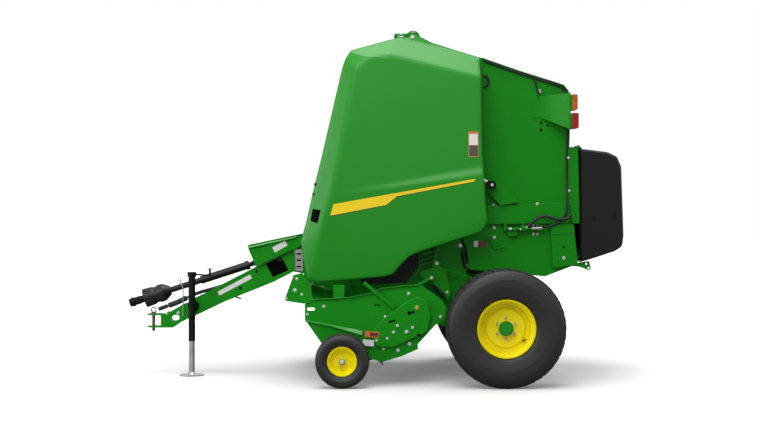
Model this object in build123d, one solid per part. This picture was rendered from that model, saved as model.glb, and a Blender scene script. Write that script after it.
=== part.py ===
from build123d import *
import math
import os

# Round baler with a belt chamber, millimetres.
# +X points to the rear, the drawbar eye is at -X, +Z is up, the ground is Z = 0 and Y = 0 is the middle.
# The left side is at -Y. Side profiles are lists of (x, z), or of (x, z, corner radius).

# Clearances that several pieces share
touch = 0.3
pin_play = 1.0

# Chamber between the side plates, shared by frame and gate
chamber_half = 612.0
sheet = 8.0
side_outer = chamber_half + sheet
edge_fold = 25.0
edge_thick = 6.0

# Gate pivot at the apex
gate_pivot_x = 350.0
gate_pivot_z = 2660.0
gate_pin_radius = 17.0
gate_ear_radius = 38.0
gate_ear_thick = 10.0
gate_ear_gap = 2.0
gate_ear_outer = side_outer + gate_ear_gap + gate_ear_thick
gate_beam_depth = 38.0

# Gate cylinders, drawn on the left
gate_cylinder_y = side_outer + 102.0
gate_cylinder_top = (-70.0, 2130.0)
gate_cylinder_eye = (962.0, 1542.0)
gate_barrel_radius = 33.0
gate_barrel_wall = 6.0
gate_barrel_cap = 30.0
gate_barrel_length = 960.0
gate_rod_radius = 19.0
gate_rod_in_barrel = 480.0
gate_eye_radius = 34.0
gate_eye_width = 44.0
gate_eye_pin_radius = 16.0
gate_pin_stand = 12.0

# Belts and rolls
belt_width = 178.0
belt_pitch = 198.0
belt_thick = 8.0
belt_count = int(2 * chamber_half // belt_pitch)
bearing_radius = 55.0
bearing_thick = 12.0
bearing_hub_radius = 28.0
bearing_hub_stand = 22.0

# Roll drive chain on the left side
sprocket_width = 8.0
sprocket_tooth = 6.0
chain_thick = 9.0
chain_width = 14.0

# Main wheels: the tyre stands on the ground
wheel_x = 1040.0
wheel_y = side_outer + 390.0
tyre_radius = 450.0
wheel_z = tyre_radius
tyre_width = 346.0
rim_radius = 225.0
rim_inset = 45.0
rim_lip = 14.0
hub_radius = 62.0
hub_half = 70.0
hub_cap_radius = 54.0
hub_cap_stand = 34.0
stud_circle = 78.0
stud_radius = 9.0
stud_count = 6
spindle_radius = 30.0
axle_side = 100.0
axle_half = wheel_y - 168.0

# Gauge wheels of the pickup
gauge_x = -197.0
gauge_tyre_radius = 206.0
gauge_z = gauge_tyre_radius
gauge_tyre_width = 165.0
gauge_rim_radius = 112.0
gauge_hub_radius = 32.0
gauge_hub_half = 55.0
gauge_spindle_radius = 15.0

# Drawbar
tongue_half = 160.0
tongue_plate = 10.0
tongue_lip = 30.0
tongue_bar_top = 692.3
clevis_hole_x = -1802.0
clevis_hole_radius = 16.0
clevis_plate = 14.0
clevis_low = 371.0
clevis_gap = 88.0
clevis_half = 55.0
clevis_nose = 52.0
clevis_top = clevis_low + clevis_gap + 2 * clevis_plate
hitch_pin_radius = 14.0
hitch_loop_radius = 20.0
hitch_loop_wire = 5.0
cover_half = 190.0
cover_wall = 4.0

# Jack
jack_x = -1447.0
jack_y = -260.0
jack_tube_radius = 28.0
jack_leg_radius = 24.0
jack_tube_low = 282.0
jack_tube_high = 805.0
jack_leg_high = 430.0
jack_foot_radius = 98.0
jack_foot_hub = 40.0
jack_foot_thick = 8.0
jack_foot_lip = 20.0
crank_reach = 147.0
crank_grip_low = 806.0
crank_grip_high = 872.0

# Driveline: origin at the rear joint, distances along the shaft
shaft_origin = (-960.0, 0.0, 908.0)
shaft_slope = 17.85
joint_half = 30.0
joint_radius = 22.0
shaft_length = 1092.0
rear_guard_radius = 33.0
rear_guard_from = 45.0
rear_guard_to = 470.0
front_guard_radius = 25.0
front_guard_from = 150.0
bell_length = 225.0
bell_radius = 80.0
bell_waist = 68.0
bell_neck_radius = 38.0
bell_wall = 5.0
yoke_length = 132.0
yoke_ear_half = 34.0
yoke_radius = 34.0
yoke_bore_radius = 17.5
yoke_bore_depth = 76.0
bell_to = shaft_length - yoke_length
bell_from = bell_to - bell_length
front_guard_to = bell_to - 60.0

# Pickup
pickup_pivot_x = 370.0
pickup_pivot_z = 602.0
pickup_tube_radius = 32.0
pickup_half = 950.0
pickup_plate = 6.0
pickup_inside = pickup_half - pickup_plate
pickup_fold = 18.0
gauge_y = pickup_half + 130.0
reel_x = -80.0
reel_z = 335.0
tine_radius = 272.0
tine_bar_radius = 130.0
tine_size = 6.0
tine_bar_count = 4
tine_bar_thick = 14.0
reel_core_radius = 45.0
reel_shaft_radius = 22.0
reel_end_gap = 6.0
reel_disc_thick = 8.0
stripper_radius = 166.0
stripper_thick = 4.0
stripper_width = 48.0
stripper_pitch = 66.0
stripper_count = int((2 * pickup_inside - stripper_width) // stripper_pitch)
stripper_rail = 30.0
pickup_beam_x = 202.0
pickup_beam_z = 262.0
pickup_beam_width = 50.0
wind_plate_thick = 8.0
wind_tube_radius = 14.0
wind_tine_radius = 5.0
wind_tine_pitch = 132.0

# Pickup lift cylinder
lift_y = side_outer + 70.0
lift_plate = 12.0
lift_cylinder_y = lift_y + 22.0
lift_low = (308.0, 708.0)
lift_high = (491.0, 817.0)
lift_barrel_radius = 20.0
lift_barrel_length = 130.0
lift_rod_radius = 11.0
lift_eye_radius = 23.0
lift_eye_half = 12.0
lift_pin_radius = 10.0

# Shields
shield_inner = side_outer + 40.0
shield_depth = 235.0
shield_outer = shield_inner + shield_depth
shield_wall = 5.0
shield_flange = 30.0
shield_step = 12.0
shield_hinge_y = side_outer + 25.0
shield_hinge_z = 2725.0
shield_pin_radius = 7.0

# Net cover
cover_over = 25.0
net_wall = 5.0
net_round = 22.0
net_knuckle_length = 50.0
net_hinge_x = 1652.0
net_hinge_z = 1846.0
net_rod_radius = 8.0

SIDES = (("left", -1), ("right", 1))


def at_side(side, piece):
    """A piece drawn on the left, or its mirror image on the right."""
    if side < 0:
        return piece
    return mirror(piece, about=Plane.XZ)


def both(piece):
    """A piece drawn on the left together with its mirror image."""
    return [piece, mirror(piece, about=Plane.XZ)]


def joined(pieces):
    whole = pieces[0]
    for piece in pieces[1:]:
        whole += piece
    return whole


def outline(points):
    return make_face(Polyline(*points, close=True))


def rounded(points):
    """A closed outline of (x, z, corner radius) points."""
    corners = [(x, z) for x, z, r in points]
    return make_face(FilletPolyline(*corners, radius=[r for x, z, r in points], close=True))


def thick(face, y_low, y_high):
    """A side profile from y_low to y_high."""
    return extrude(Plane.XZ.offset(-y_high) * face, amount=y_high - y_low)


def slab(points, y_low, y_high):
    """A side profile of (x, z) points, from y_low to y_high."""
    return thick(outline(points), y_low, y_high)


def strip(points, width):
    """The outline of a flat strip that follows (x, z) points and lies on their left."""
    line = [Vector(*p) for p in points]
    inner = []
    for i, corner in enumerate(line):
        before = (corner - line[max(i - 1, 0)]) if i else (line[1] - line[0])
        after = (line[i + 1] - corner) if i + 1 < len(line) else before
        normal = before.normalized() + after.normalized()
        normal = Vector(-normal.Y, normal.X).normalized()
        half_turn = math.radians(before.get_angle(after)) / 2
        inner.append(corner + normal * (width / math.cos(half_turn)))
    return make_face(Polyline(*line, *reversed(inner), close=True))


def deck(points, z_low, z_high):
    """A plan profile of (x, y) points, from z_low to z_high."""
    return extrude(Plane.XY.offset(z_low) * outline(points), amount=z_high - z_low)


def bar(x_low, x_high, y_low, y_high, z_low, z_high):
    return Pos(x_low, y_low, z_low) * Box(x_high - x_low, y_high - y_low, z_high - z_low,
                                          align=(Align.MIN, Align.MIN, Align.MIN))


def across(x, z, radius, y_low, y_high):
    """A round bar along Y."""
    return Plane((x, y_low, z), z_dir=(0, 1, 0)) * Cylinder(
        radius, y_high - y_low, align=(Align.CENTER, Align.CENTER, Align.MIN))


def upright(x, y, radius, z_low, z_high):
    return Pos(x, y, z_low) * Cylinder(radius, z_high - z_low, align=(Align.CENTER, Align.CENTER, Align.MIN))


def stick(start, end, radius):
    """A round bar between two points in space."""
    line = Vector(*end) - Vector(*start)
    return Plane(start, z_dir=line) * Cylinder(radius, line.length,
                                               align=(Align.CENTER, Align.CENTER, Align.MIN))


def hose(points, radius):
    """A hose of straight runs and tangent arcs, each arc as large as its two runs allow."""
    route = [Vector(*p) for p in points]
    radii = []
    for before, corner, after in zip(route, route[1:], route[2:]):
        shorter = min((corner - before).length, (after - corner).length)
        turn = math.radians((corner - before).get_angle(after - corner))
        radii.append(round(0.45 * shorter / math.tan(turn / 2), 1))
    print("hose arc radii", radii)
    path = FilletPolyline(*route, radius=radii)
    tube = sweep(Plane(path @ 0, z_dir=path % 0) * Circle(radius), path=path)
    share = tube.volume / (math.pi * radius ** 2 * path.length)
    print("hose length", round(path.length), "volume share", round(share, 4))
    return tube


def band_round(circles, thickness, y_low, y_high):
    """A closed band, tight round the rolls that are given as (x, z, radius)."""
    outer = make_hull([e for x, z, r in circles for e in (Pos(x, z) * Circle(r + touch + thickness)).edges()])
    inner = make_hull([e for x, z, r in circles for e in (Pos(x, z) * Circle(r + touch)).edges()])
    return thick(outer - inner, y_low, y_high)


def turned(profile, x, y, z):
    """A turned piece from (radius, y offset) points about a wheel's axis."""
    return Pos(x, y, z) * revolve(outline(profile), axis=Axis.Y)


def save(name, *pieces):
    solids = []
    for piece in pieces:
        solids += list(piece.solids())
    shape = Compound(label=name, children=solids) if len(solids) > 1 else solids[0]
    shape.label = name
    export_step(shape, os.path.join("parts", name + ".step"))


# Main frame

FRAME_FRONT = [(-590, 860), (-590, 1045), (-430, 1130), (-330, 1560), (-130, 2480), (-70, 2580), (200, 2696)]
FRAME_REST = [
    (290, 2705), (312, 2750), (388, 2750), (402, 2690), (425, 2640), (735, 1062), (750, 1054), (772, 874),
    (772, 800), (1160, 770), (1190, 600), (1120, 380), (960, 380), (620, 420), (440, 480), (300, 560), (60, 730),
    (-290, 765), (-430, 830),
]
PARTING = [(735, 1062), (750, 1054), (772, 874)]
AXLE_GUSSET = [(900, 400, 20), (980, 660, 30), (1110, 660, 30), (1170, 400, 20)]

# Rolls: x, z, radius, and 1 where the side plate shows its bearing
FRAME_ROLLS = [(350, 2715, 45, 0), (20, 2480, 45, 1), (-300, 1330, 50, 1), (-270, 960, 50, 1),
               (440, 770, 60, 0), (590, 920, 50, 0)]
GATE_ROLLS = [(520, 2545, 45, 0), (1455, 2215, 45, 0), (1460, 1500, 45, 0), (1380, 930, 55, 0),
              (900, 950, 60, 0)]

# Sprockets of the roll drive: x, z, pitch radius, teeth
SPROCKETS = [(-300, 1330, 60, 15), (-270, 960, 90, 23), (-180, 1150, 30, 8)]


def frame_side(side):
    plate = slab(FRAME_FRONT + FRAME_REST, -side_outer, -chamber_half)
    plate -= across(pickup_pivot_x, pickup_pivot_z, pickup_tube_radius + touch, -side_outer, -chamber_half)
    half = axle_side / 2
    plate += thick(rounded(AXLE_GUSSET), -side_outer - 14, -side_outer)
    plate -= bar(wheel_x - half, wheel_x + half, -side_outer - edge_fold, -chamber_half, wheel_z - half,
                 wheel_z + half)
    plate += thick(strip(list(reversed(FRAME_FRONT)), edge_thick), -side_outer - edge_fold, -side_outer)
    plate += thick(strip(list(reversed(PARTING)), edge_thick), -side_outer - edge_fold, -side_outer)
    for x, z, r, bearing in FRAME_ROLLS:
        if bearing:
            plate += across(x, z, bearing_radius, -side_outer - bearing_thick, -side_outer)
            plate += across(x, z, bearing_hub_radius, -side_outer - bearing_hub_stand, -side_outer)
    pin = across(gate_pivot_x, gate_pivot_z, gate_pin_radius, -gate_ear_outer - 12, -side_outer)
    top_x, top_z = gate_cylinder_top
    lug = slab([(top_x - 50, top_z + 50), (top_x + 50, top_z + 50), (top_x + 50, top_z - 40),
                (top_x - 30, top_z - 70),
                (top_x - 80, top_z - 30)], -shield_inner + 10, -side_outer)
    stub = across(top_x, top_z, gate_eye_pin_radius, -gate_cylinder_y - gate_eye_width / 2,
                  -shield_inner + 10)
    return at_side(side, plate + pin + lug + stub + shield_hinge_half())


# Shield hinge: the frame holds the pin in two blocks, and the shield's leaves turn between them
HINGE_BLOCKS = ((200, 225), (285, 303))
HINGE_LEAVES = ((227, 242), (268, 283))


def shield_hinge_half():
    z = shield_hinge_z
    half = stick((HINGE_BLOCKS[0][0], -shield_hinge_y, z), (HINGE_BLOCKS[1][1], -shield_hinge_y, z),
                 shield_pin_radius)
    for x_low, x_high in HINGE_BLOCKS:
        half += bar(x_low, x_high, -shield_hinge_y - 8, -side_outer, z - 12, z + 10)
        half += bar(x_low, x_high, -side_outer - 12, -side_outer, z - 45, z)
    return half


def axle():
    half = axle_side / 2
    beam = bar(wheel_x - half, wheel_x + half, -axle_half, axle_half, wheel_z - half, wheel_z + half)
    for spindle in both(across(wheel_x, wheel_z, spindle_radius, -wheel_y - hub_half + 10, -axle_half)):
        beam += spindle
    return beam


HEAD_BEAM = (-590, -440, 860, 1040)


def frame_beams():
    x_low, x_high, z_low, z_high = HEAD_BEAM
    head = bar(x_low, x_high, -chamber_half, chamber_half, z_low, z_high)
    top = across(-60, 2530, 30, -chamber_half, chamber_half)
    low = bar(560, 640, -chamber_half, chamber_half, 430, 510)
    return head, top, low


panel_ribs = 5
FRONT_PANEL = [(-430, 1045), (-430, 1130), (-330, 1560), (-150, 2390)]


def front_panel():
    face = strip(list(reversed(FRONT_PANEL)), 5)
    panel = thick(face, -chamber_half, chamber_half)
    rib = strip([(-423, 1160), (-330, 1560), (-170, 2298)], 15)
    for i in range(panel_ribs):
        y = (i - (panel_ribs - 1) / 2) * 2 * chamber_half / panel_ribs
        panel += thick(rib, y - 18, y + 18)
    return panel


INNER_PANEL = [(-60, 756, 10), (300, 776, 30), (392, 900, 20), (392, 1016, 20), (200, 1040, 30),
               (-60, 900, 20)]


def inner_panels():
    """Black guards over the chamber's lower sides, seen under the shields."""
    return both(thick(rounded(INNER_PANEL), -side_outer - 6, -side_outer))


def rolls(table):
    return [across(x, z, r, -chamber_half, chamber_half) for x, z, r, bearing in table]


def belts(table):
    out = []
    for i in range(belt_count):
        middle = (i - (belt_count - 1) / 2) * belt_pitch
        circles = [(x, z, r) for x, z, r, bearing in table]
        out.append(band_round(circles, belt_thick, middle - belt_width / 2, middle + belt_width / 2))
    return out


def drive_chain():
    """Three toothed sprockets, the two lower ones on roll shafts, and the chain round them."""
    y_low = -side_outer - bearing_hub_stand - touch - chain_width
    middle = y_low + chain_width / 2
    pieces = []
    for x, z, r, teeth in SPROCKETS:
        wheel = Circle(r - sprocket_tooth)
        for i in range(teeth):
            at = Rot(0, 0, 360 * i / teeth) * Pos(r - sprocket_tooth, 0)
            wheel += at * Rectangle(2 * sprocket_tooth, 4)
        disc = thick(Pos(x, z) * wheel, middle - sprocket_width / 2, middle + sprocket_width / 2)
        disc += across(x, z, bearing_hub_radius - 8, y_low - 6, middle + chain_width / 2)
        pieces.append(disc)
    x, z, r, teeth = SPROCKETS[-1]
    pieces[-1] += across(x, z, 12, middle, -side_outer)
    circles = [(x, z, r) for x, z, r, teeth in SPROCKETS]
    pieces.append(band_round(circles, chain_thick, y_low, y_low + chain_width))
    return pieces


# Drawbar

TONGUE_TOP = [(-1435, 628), (-1270, 706), (-935, 879), (-600, 1045)]
TONGUE_LOW = [(-590, 860), (-692, 806), (-798, 753), (-1188, 596), (-1435, 477)]
TONGUE_WINDOW = [(-853, 906, 8), (-725, 968, 8), (-664, 853, 8), (-793, 795, 8)]


def tongue():
    side_plate = slab(TONGUE_TOP + [(-590, 1045)] + TONGUE_LOW, -tongue_half, -tongue_half + tongue_plate)
    side_plate -= thick(rounded(TONGUE_WINDOW), -tongue_half, -tongue_half + tongue_plate)
    inside = tongue_half - tongue_plate
    side_plate += thick(strip(list(reversed(TONGUE_TOP[:3])), 6), -inside, -inside + tongue_lip)
    body = joined(both(side_plate))
    body += thick(strip(list(reversed(TONGUE_LOW[1:])), 10), -inside, inside)
    return body + bar(-1280, -1270, -inside, inside, 590, tongue_bar_top)


def hitch_clevis():
    arm = rounded([(-1736, clevis_top, 4), (-1700, clevis_top, 10), (-1663, 502, 10), (-1592, 542, 10),
                   (-1541, 572, 10), (-1435, 600, 0), (-1435, 497, 0), (-1446, 480, 0), (-1587, 404, 20),
                   (-1634, clevis_low, 20), (-1736, clevis_low, 4)])
    arm -= Pos(-1617, 452) * Rot(0, 0, 12) * SlotOverall(74, 46)
    body = thick(arm, -clevis_half, clevis_half)
    inside = tongue_half - tongue_plate
    body += slab([(-1435, 600), (-1405, 610), (-1405, 510), (-1435, 497)], -inside, inside)
    for z in (clevis_low, clevis_low + clevis_plate + clevis_gap):
        plate = bar(clevis_hole_x, -1736, -clevis_half, clevis_half, z, z + clevis_plate)
        plate += upright(clevis_hole_x, 0, clevis_nose, z, z + clevis_plate)
        body += plate - upright(clevis_hole_x, 0, clevis_hole_radius, z, z + clevis_plate)
    return body


def hitch_pin():
    pin = upright(clevis_hole_x, 0, hitch_pin_radius, clevis_low - 30, clevis_top)
    pin += upright(clevis_hole_x, 0, hitch_pin_radius + 8, clevis_top, clevis_top + 10)
    loop_z = clevis_top + 10 + hitch_loop_radius
    return pin + Plane((clevis_hole_x, 0, loop_z), z_dir=(0, 1, 0)) * Torus(hitch_loop_radius, hitch_loop_wire)


def gearbox():
    case = thick(rounded([(-905, 860, 10), (-905, 985, 20), (-700, 1060, 20), (-660, 1040, 20),
                          (-660, 880, 10)]), -90, 90)
    snout = stick((-905, 0, 926), (-922, 0, 920.5), 30)
    shaft = across(-740, 960, 35, -tongue_half + tongue_plate, tongue_half - tongue_plate)
    ear_in = joint_half + touch
    x, y, z = shaft_origin
    body = case + snout + shaft
    ear = across(x, z, joint_radius + 2, -ear_in - 12, -ear_in)
    ear += bar(x, -904, -ear_in - 12, -ear_in, 892, 932)
    for each in both(ear):
        body += each
    return body


TONGUE_COVER = [(-992, 1027), (-994, 1064), (-560, 1153), (-560, 1040), (-600, 1040), (-932, 885)]


def tongue_cover():
    body = slab(TONGUE_COVER, -cover_half, cover_half)
    inside = cover_half - cover_wall
    body -= slab([(-1010, 1000), (-1010, 1056), (-550, 1151), (-550, 1000), (-932, 800)], -inside, inside)
    lip = strip([(-994, 1064), (-560, 1153)], -5)
    for y in (-cover_half - 12, cover_half):
        body += thick(lip, y, y + 12)
    return body


holder_rod_radius = 5.0
SLOT_PLATE = (-582, -520, 866, 1036)


def drawbar_fittings():
    """Holder rod of the driveline beside the clevis arm, and the slotted plates beside the head beam."""
    y = -clevis_half - holder_rod_radius - touch
    rod = stick((-1548, y, 470), (-1548, y, 700), holder_rod_radius)
    rod += stick((-1548, y, 700), (-1572, y, 762), holder_rod_radius)
    rod += Pos(-1548, y, 700) * Sphere(holder_rod_radius)
    rod += Plane((-1577, y, 774), z_dir=(0, 1, 0)) * Torus(13, 4)
    x_low, x_high, z_low, z_high = SLOT_PLATE
    plate = bar(x_low, x_high, -side_outer - 5, -side_outer, z_low, z_high)
    middle = (x_low + x_high) / 2
    for z in (z_low + 35, (z_low + z_high) / 2, z_high - 35):
        plate -= thick(Pos(middle, z) * SlotOverall(40, 14), -side_outer - 5, -side_outer)
    return [rod] + both(plate)


# Held hoses of the drawbar, as (x, z) points of the route
hose_radius = 9.0
hose_pitch = 56.0
coupling_radius = 17.0
coupling_length = 70.0
HOSE_ROUTE = [(-1690, 548), (-1620, 574), (-1550, 608), (-1470, 644), (-1390, 672), (-1310, 693), (-1230, 717),
              (-1150, 748), (-1070, 786), (-1000, 825)]


def hoses():
    """Two hydraulic hoses that lie in the drawbar on its cross plate, with their couplings over the hitch."""
    out = []
    for y in (-hose_pitch / 2, hose_pitch / 2):
        points = [(x, y, z) for x, z in HOSE_ROUTE]
        start = Vector(*points[0])
        line = (Vector(*points[1]) - start).normalized()
        coupling = Plane(start - line * coupling_length, z_dir=line) * Cylinder(
            coupling_radius, coupling_length, align=(Align.CENTER, Align.CENTER, Align.MIN))
        out.append(hose(points, hose_radius) + coupling)
    return out


def jack_tube():
    tube = upright(jack_x, jack_y, jack_tube_radius, jack_tube_low, jack_tube_high)
    tube -= upright(jack_x, jack_y, jack_leg_radius + pin_play, jack_tube_low, jack_tube_high - 20)
    tube += upright(jack_x, jack_y, jack_tube_radius + 8, jack_tube_high, jack_tube_high + 38)
    grip_x = jack_x + crank_reach
    arm = stick((jack_x, jack_y, jack_tube_high + 22), (grip_x, jack_y, crank_grip_low + 8), 7)
    grip = upright(grip_x, jack_y, 9, crank_grip_low, crank_grip_high)
    grip += upright(grip_x, jack_y, 24, crank_grip_high - 6, crank_grip_high)
    bracket = across(jack_x, 560, 30, jack_y + jack_tube_radius - 6, -tongue_half)
    bracket -= upright(jack_x, jack_y, jack_leg_radius + pin_play, 500, 620)
    bracket += across(jack_x, 560, 46, -tongue_half - 10, -tongue_half)
    return tube + arm + grip + bracket


def jack_leg():
    leg = upright(jack_x, jack_y, jack_leg_radius, 0, jack_leg_high)
    dish = Pos(jack_x, jack_y, 0) * revolve(Plane.XZ * outline([
        (0, 0), (jack_foot_radius, 0), (jack_foot_radius, jack_foot_thick), (jack_foot_hub, jack_foot_thick),
        (jack_leg_radius, jack_foot_lip + jack_foot_thick), (0, jack_foot_lip + jack_foot_thick)]),
        axis=Axis.Z)
    return leg + dish


# Driveline

slope = math.radians(shaft_slope)
shaft_line = Vector(-math.cos(slope), 0, -math.sin(slope))
shaft_start = Vector(*shaft_origin)


def along(radius, start, end):
    """A round length of the driveline, by distances from its rear joint."""
    return Plane(shaft_start + shaft_line * start, z_dir=shaft_line) * Cylinder(
        radius, end - start, align=(Align.CENTER, Align.CENTER, Align.MIN))


def shaft_turned(profile):
    """A turned piece of the driveline from (radius, distance) points."""
    return Plane(shaft_start, x_dir=(0, 1, 0), z_dir=shaft_line) * revolve(Plane.XZ * outline(profile), axis=Axis.Z)


def driveline_rear():
    tube = along(rear_guard_radius, rear_guard_from, rear_guard_to)
    tube += along(rear_guard_radius + 5, rear_guard_from, rear_guard_from + 30)
    tube -= along(front_guard_radius + touch, front_guard_from - 20, rear_guard_to)
    joint = Plane(shaft_start, z_dir=(0, 1, 0)) * Cylinder(joint_radius, 2 * joint_half)
    return tube + along(20, 0, rear_guard_from) + joint


# Bell guard: share of its length, outer radius
BELL = [(0.0, bell_neck_radius), (0.14, bell_waist - 10), (0.26, bell_waist + 6), (0.42, bell_waist + 8),
        (0.50, bell_waist), (0.58, bell_waist), (0.68, bell_waist + 8), (0.86, bell_radius - 2),
        (1.0, bell_radius)]


def driveline_guard():
    tube = along(front_guard_radius, front_guard_from, front_guard_to)
    outside = [(r, bell_from + share * bell_length) for share, r in BELL]
    inside = [(r - bell_wall, s) for r, s in reversed(outside[1:])]
    start = bell_from + bell_wall
    bell = shaft_turned([(0, bell_from)] + outside + inside + [(bell_neck_radius - bell_wall, start), (0, start)])
    return tube + bell


def driveline_yoke():
    end = shaft_length
    ear_low = end - yoke_length - 10
    body = along(20, front_guard_to, ear_low + 20)
    body += along(yoke_radius, end - yoke_bore_depth - 12, end)
    ear = along(yoke_ear_half, ear_low, end - yoke_bore_depth)
    middle = shaft_start + shaft_line * (ear_low + 25)
    gap = Plane(middle, x_dir=(0, 1, 0), z_dir=shaft_line) * Box(30, 120, 44)
    body += ear - gap
    body += Plane(middle, x_dir=(0, 1, 0), z_dir=shaft_line) * Box(40, 18, 18)
    body += along(yoke_radius + 6, end - 40, end - 22)
    return body - along(yoke_bore_radius, end - yoke_bore_depth, end)


# Gate

GATE_TOP = [(893, 2547), (1193, 2443), (1451, 2362), (1535, 2334), (1572, 2290), (1583, 2250)]
GATE_REAR = [(1583, 2250), (1583, 1963), (1577, 1773), (1577, 1412), (1595, 1305)]
GATE_REST = [(1644, 920), (1390, 823), (790, 880), (768, 1066), (752, 1074), (442, 2640), (470, 2668)]
GATE_BEAM = [(790, 1240), (785, 1375), (1577, 1407), (1580, 1262), (1568, 1241)]
GATE_LUG = [(930, 1585, 10), (985, 1600, 14), (1042, 1538, 10), (1174, 1407, 0), (1034, 1383, 0),
            (930, 1500, 14)]
lug_side = -gate_cylinder_y + gate_eye_width / 2 + 20


def gate_side(side):
    plate = slab(GATE_TOP + GATE_REAR[1:] + GATE_REST, -side_outer, -chamber_half)
    beam = thick(rounded([(x, z, 8) for x, z in GATE_BEAM]), -side_outer - gate_beam_depth, -side_outer)
    top_fold = thick(strip(GATE_TOP, -edge_thick), -side_outer - edge_fold, -side_outer)
    rear_fold = thick(strip(GATE_REAR[:4], -edge_thick), -side_outer - edge_fold, -side_outer)
    ear_in = -side_outer - gate_ear_gap
    ear = slab([(gate_pivot_x, gate_pivot_z - gate_ear_radius), (gate_pivot_x, gate_pivot_z + gate_ear_radius),
                (480, 2660), (560, 2636), (560, 2530), (470, 2560)], -gate_ear_outer, ear_in)
    ear += across(gate_pivot_x, gate_pivot_z, gate_ear_radius, -gate_ear_outer, ear_in)
    ear -= across(gate_pivot_x, gate_pivot_z, gate_pin_radius + pin_play, -gate_ear_outer, ear_in)
    pad = slab([(475, 2640), (540, 2625), (540, 2560), (475, 2570)], ear_in, -side_outer)
    lug = thick(rounded(GATE_LUG), lug_side, -side_outer - gate_beam_depth)
    lug_root = slab([(985, 1600), (1042, 1538), (1174, 1407), (1034, 1383), (930, 1480)],
                    -side_outer - gate_beam_depth, -side_outer)
    return at_side(side, plate + beam + top_fold + rear_fold + ear + pad + lug + lug_root)


# Cross tubes of the gate: x, z, radius
GATE_TUBES = [(1535, 2285, 30), (1550, 1880, 20), (1545, 985, 30), (1180, 2420, 16), (760, 2560, 16)]


def gate_beams():
    return [across(x, z, r, -chamber_half, chamber_half) for x, z, r in GATE_TUBES]


# Gate latches under the beams: x of each hanger
LATCH_HANGERS = (1075, 1215, 1342)
latch_z = 1196.0
latch_rod_radius = 9.0
latch_y = -side_outer - gate_beam_depth / 2


def gate_latches():
    """Latch rods that hang under the gate's side beams, with their blocks."""
    rod = Plane((LATCH_HANGERS[0] - 12, latch_y, latch_z), z_dir=(1, 0, 0)) * Cylinder(
        latch_rod_radius, LATCH_HANGERS[-1] - LATCH_HANGERS[0] + 24,
        align=(Align.CENTER, Align.CENTER, Align.MIN))
    for x in LATCH_HANGERS:
        rod += bar(x - 12, x + 12, latch_y - 13, latch_y + 13, latch_z - 16, 1240)
    rod += bar(1096, 1170, latch_y - 20, latch_y + 12, latch_z - 52, latch_z)
    pair = both(rod)
    pair[0] += bar(LATCH_HANGERS[1] - 20, HARNESS_END[0] - 1, latch_y - 46, latch_y - 13, latch_z - 6,
                   latch_z + 22)
    return pair


# Held harness hose on the left of the gate: under its top fold, down the rear fold, round the beam and forwards
harness_radius = 9.0
harness_y = -side_outer - 15.0
harness_out_y = -side_outer - gate_beam_depth - 12.5
HARNESS_END = (1233, 1204)
HARNESS_IN = [(900, 2527), (1020, 2486), (1120, 2449), (1220, 2416), (1330, 2382), (1440, 2347), (1520, 2320),
              (1556, 2276), (1564, 2200), (1565, 2080), (1563, 1960), (1560, 1840), (1558, 1720), (1560, 1600)]
HARNESS_OUT = [(1558, 1420), (1554, 1330), (1520, 1262), (1440, 1224), (1340, 1209)]


def gate_harness():
    points = [(x, harness_y, z) for x, z in HARNESS_IN]
    points.append((1559, (harness_y + harness_out_y) / 2, 1500))
    points += [(x, harness_out_y, z) for x, z in HARNESS_OUT + [HARNESS_END]]
    return hose(points, harness_radius)


CORNER_BOX = [(1431, 1217, 6), (1467, 1237, 6), (1612, 1233, 6), (1644, 920, 6), (1449, 892, 6)]


def corner_boxes():
    body = thick(rounded(CORNER_BOX), -side_outer - 40, -side_outer)
    body += thick(strip([(1440, 1158), (1616, 1166)], 5), -side_outer - 46, -side_outer - 40)
    return both(body)


REAR_BRACKET = [(1590, 935, 0), (1650, 930, 10), (1740, 946, 12), (1755, 886, 10), (1740, 870, 8), (1661, 900, 10),
                (1590, 905, 0)]


def rear_brackets():
    plate = thick(rounded(REAR_BRACKET), -chamber_half, -chamber_half + 12)
    for x, z in ((1718, 922), (1736, 890)):
        plate -= across(x, z, 8, -chamber_half, -chamber_half + 12)
    return both(plate)


LAMP_PLATE = [(1292, 2238), (1356, 2242), (1561, 2257), (1573, 1971), (1362, 2071), (1292, 2080)]
lamp_x = 1564.0
lamp_outer = side_outer + 210.0
lamp_inner = side_outer + 80.0
lamp_base = 12.0

# Lamps: node, lowest z, highest z, length
LAMPS = (("amber_lamps", 2122, 2242, 44), ("red_lamps", 1979, 2098, 52))


def lamp_brackets():
    flange = slab([(1292, 2238), (1356, 2242), (1362, 2071), (1292, 2080)], -side_outer - 5, -side_outer)
    wing = deck([(1356, -side_outer), (1356, -side_outer - 5), (1561, -lamp_outer + 35), (1564, -lamp_outer + 40)],
                1960, 2260)
    wing = wing & slab(LAMP_PLATE, -lamp_outer - 70, -side_outer + 20)
    mount = bar(lamp_x - 6, lamp_x, -lamp_outer, -lamp_inner, 1971, 2257)
    body = flange + wing + mount
    for name, z_low, z_high, length in LAMPS:
        body += bar(lamp_x, lamp_x + lamp_base, -lamp_outer + 4, -lamp_inner - 4, z_low + 4, z_high - 4)
    return both(body)


def lamps(z_low, z_high, length):
    """Domed lenses on their dark bases."""
    x = lamp_x + lamp_base
    lens = bar(x, x + length, -lamp_outer, -lamp_inner, z_low, z_high)
    return both(fillet(lens.edges().filter_by(lambda e: e.center().X > x + length - 1), 14))


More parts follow.
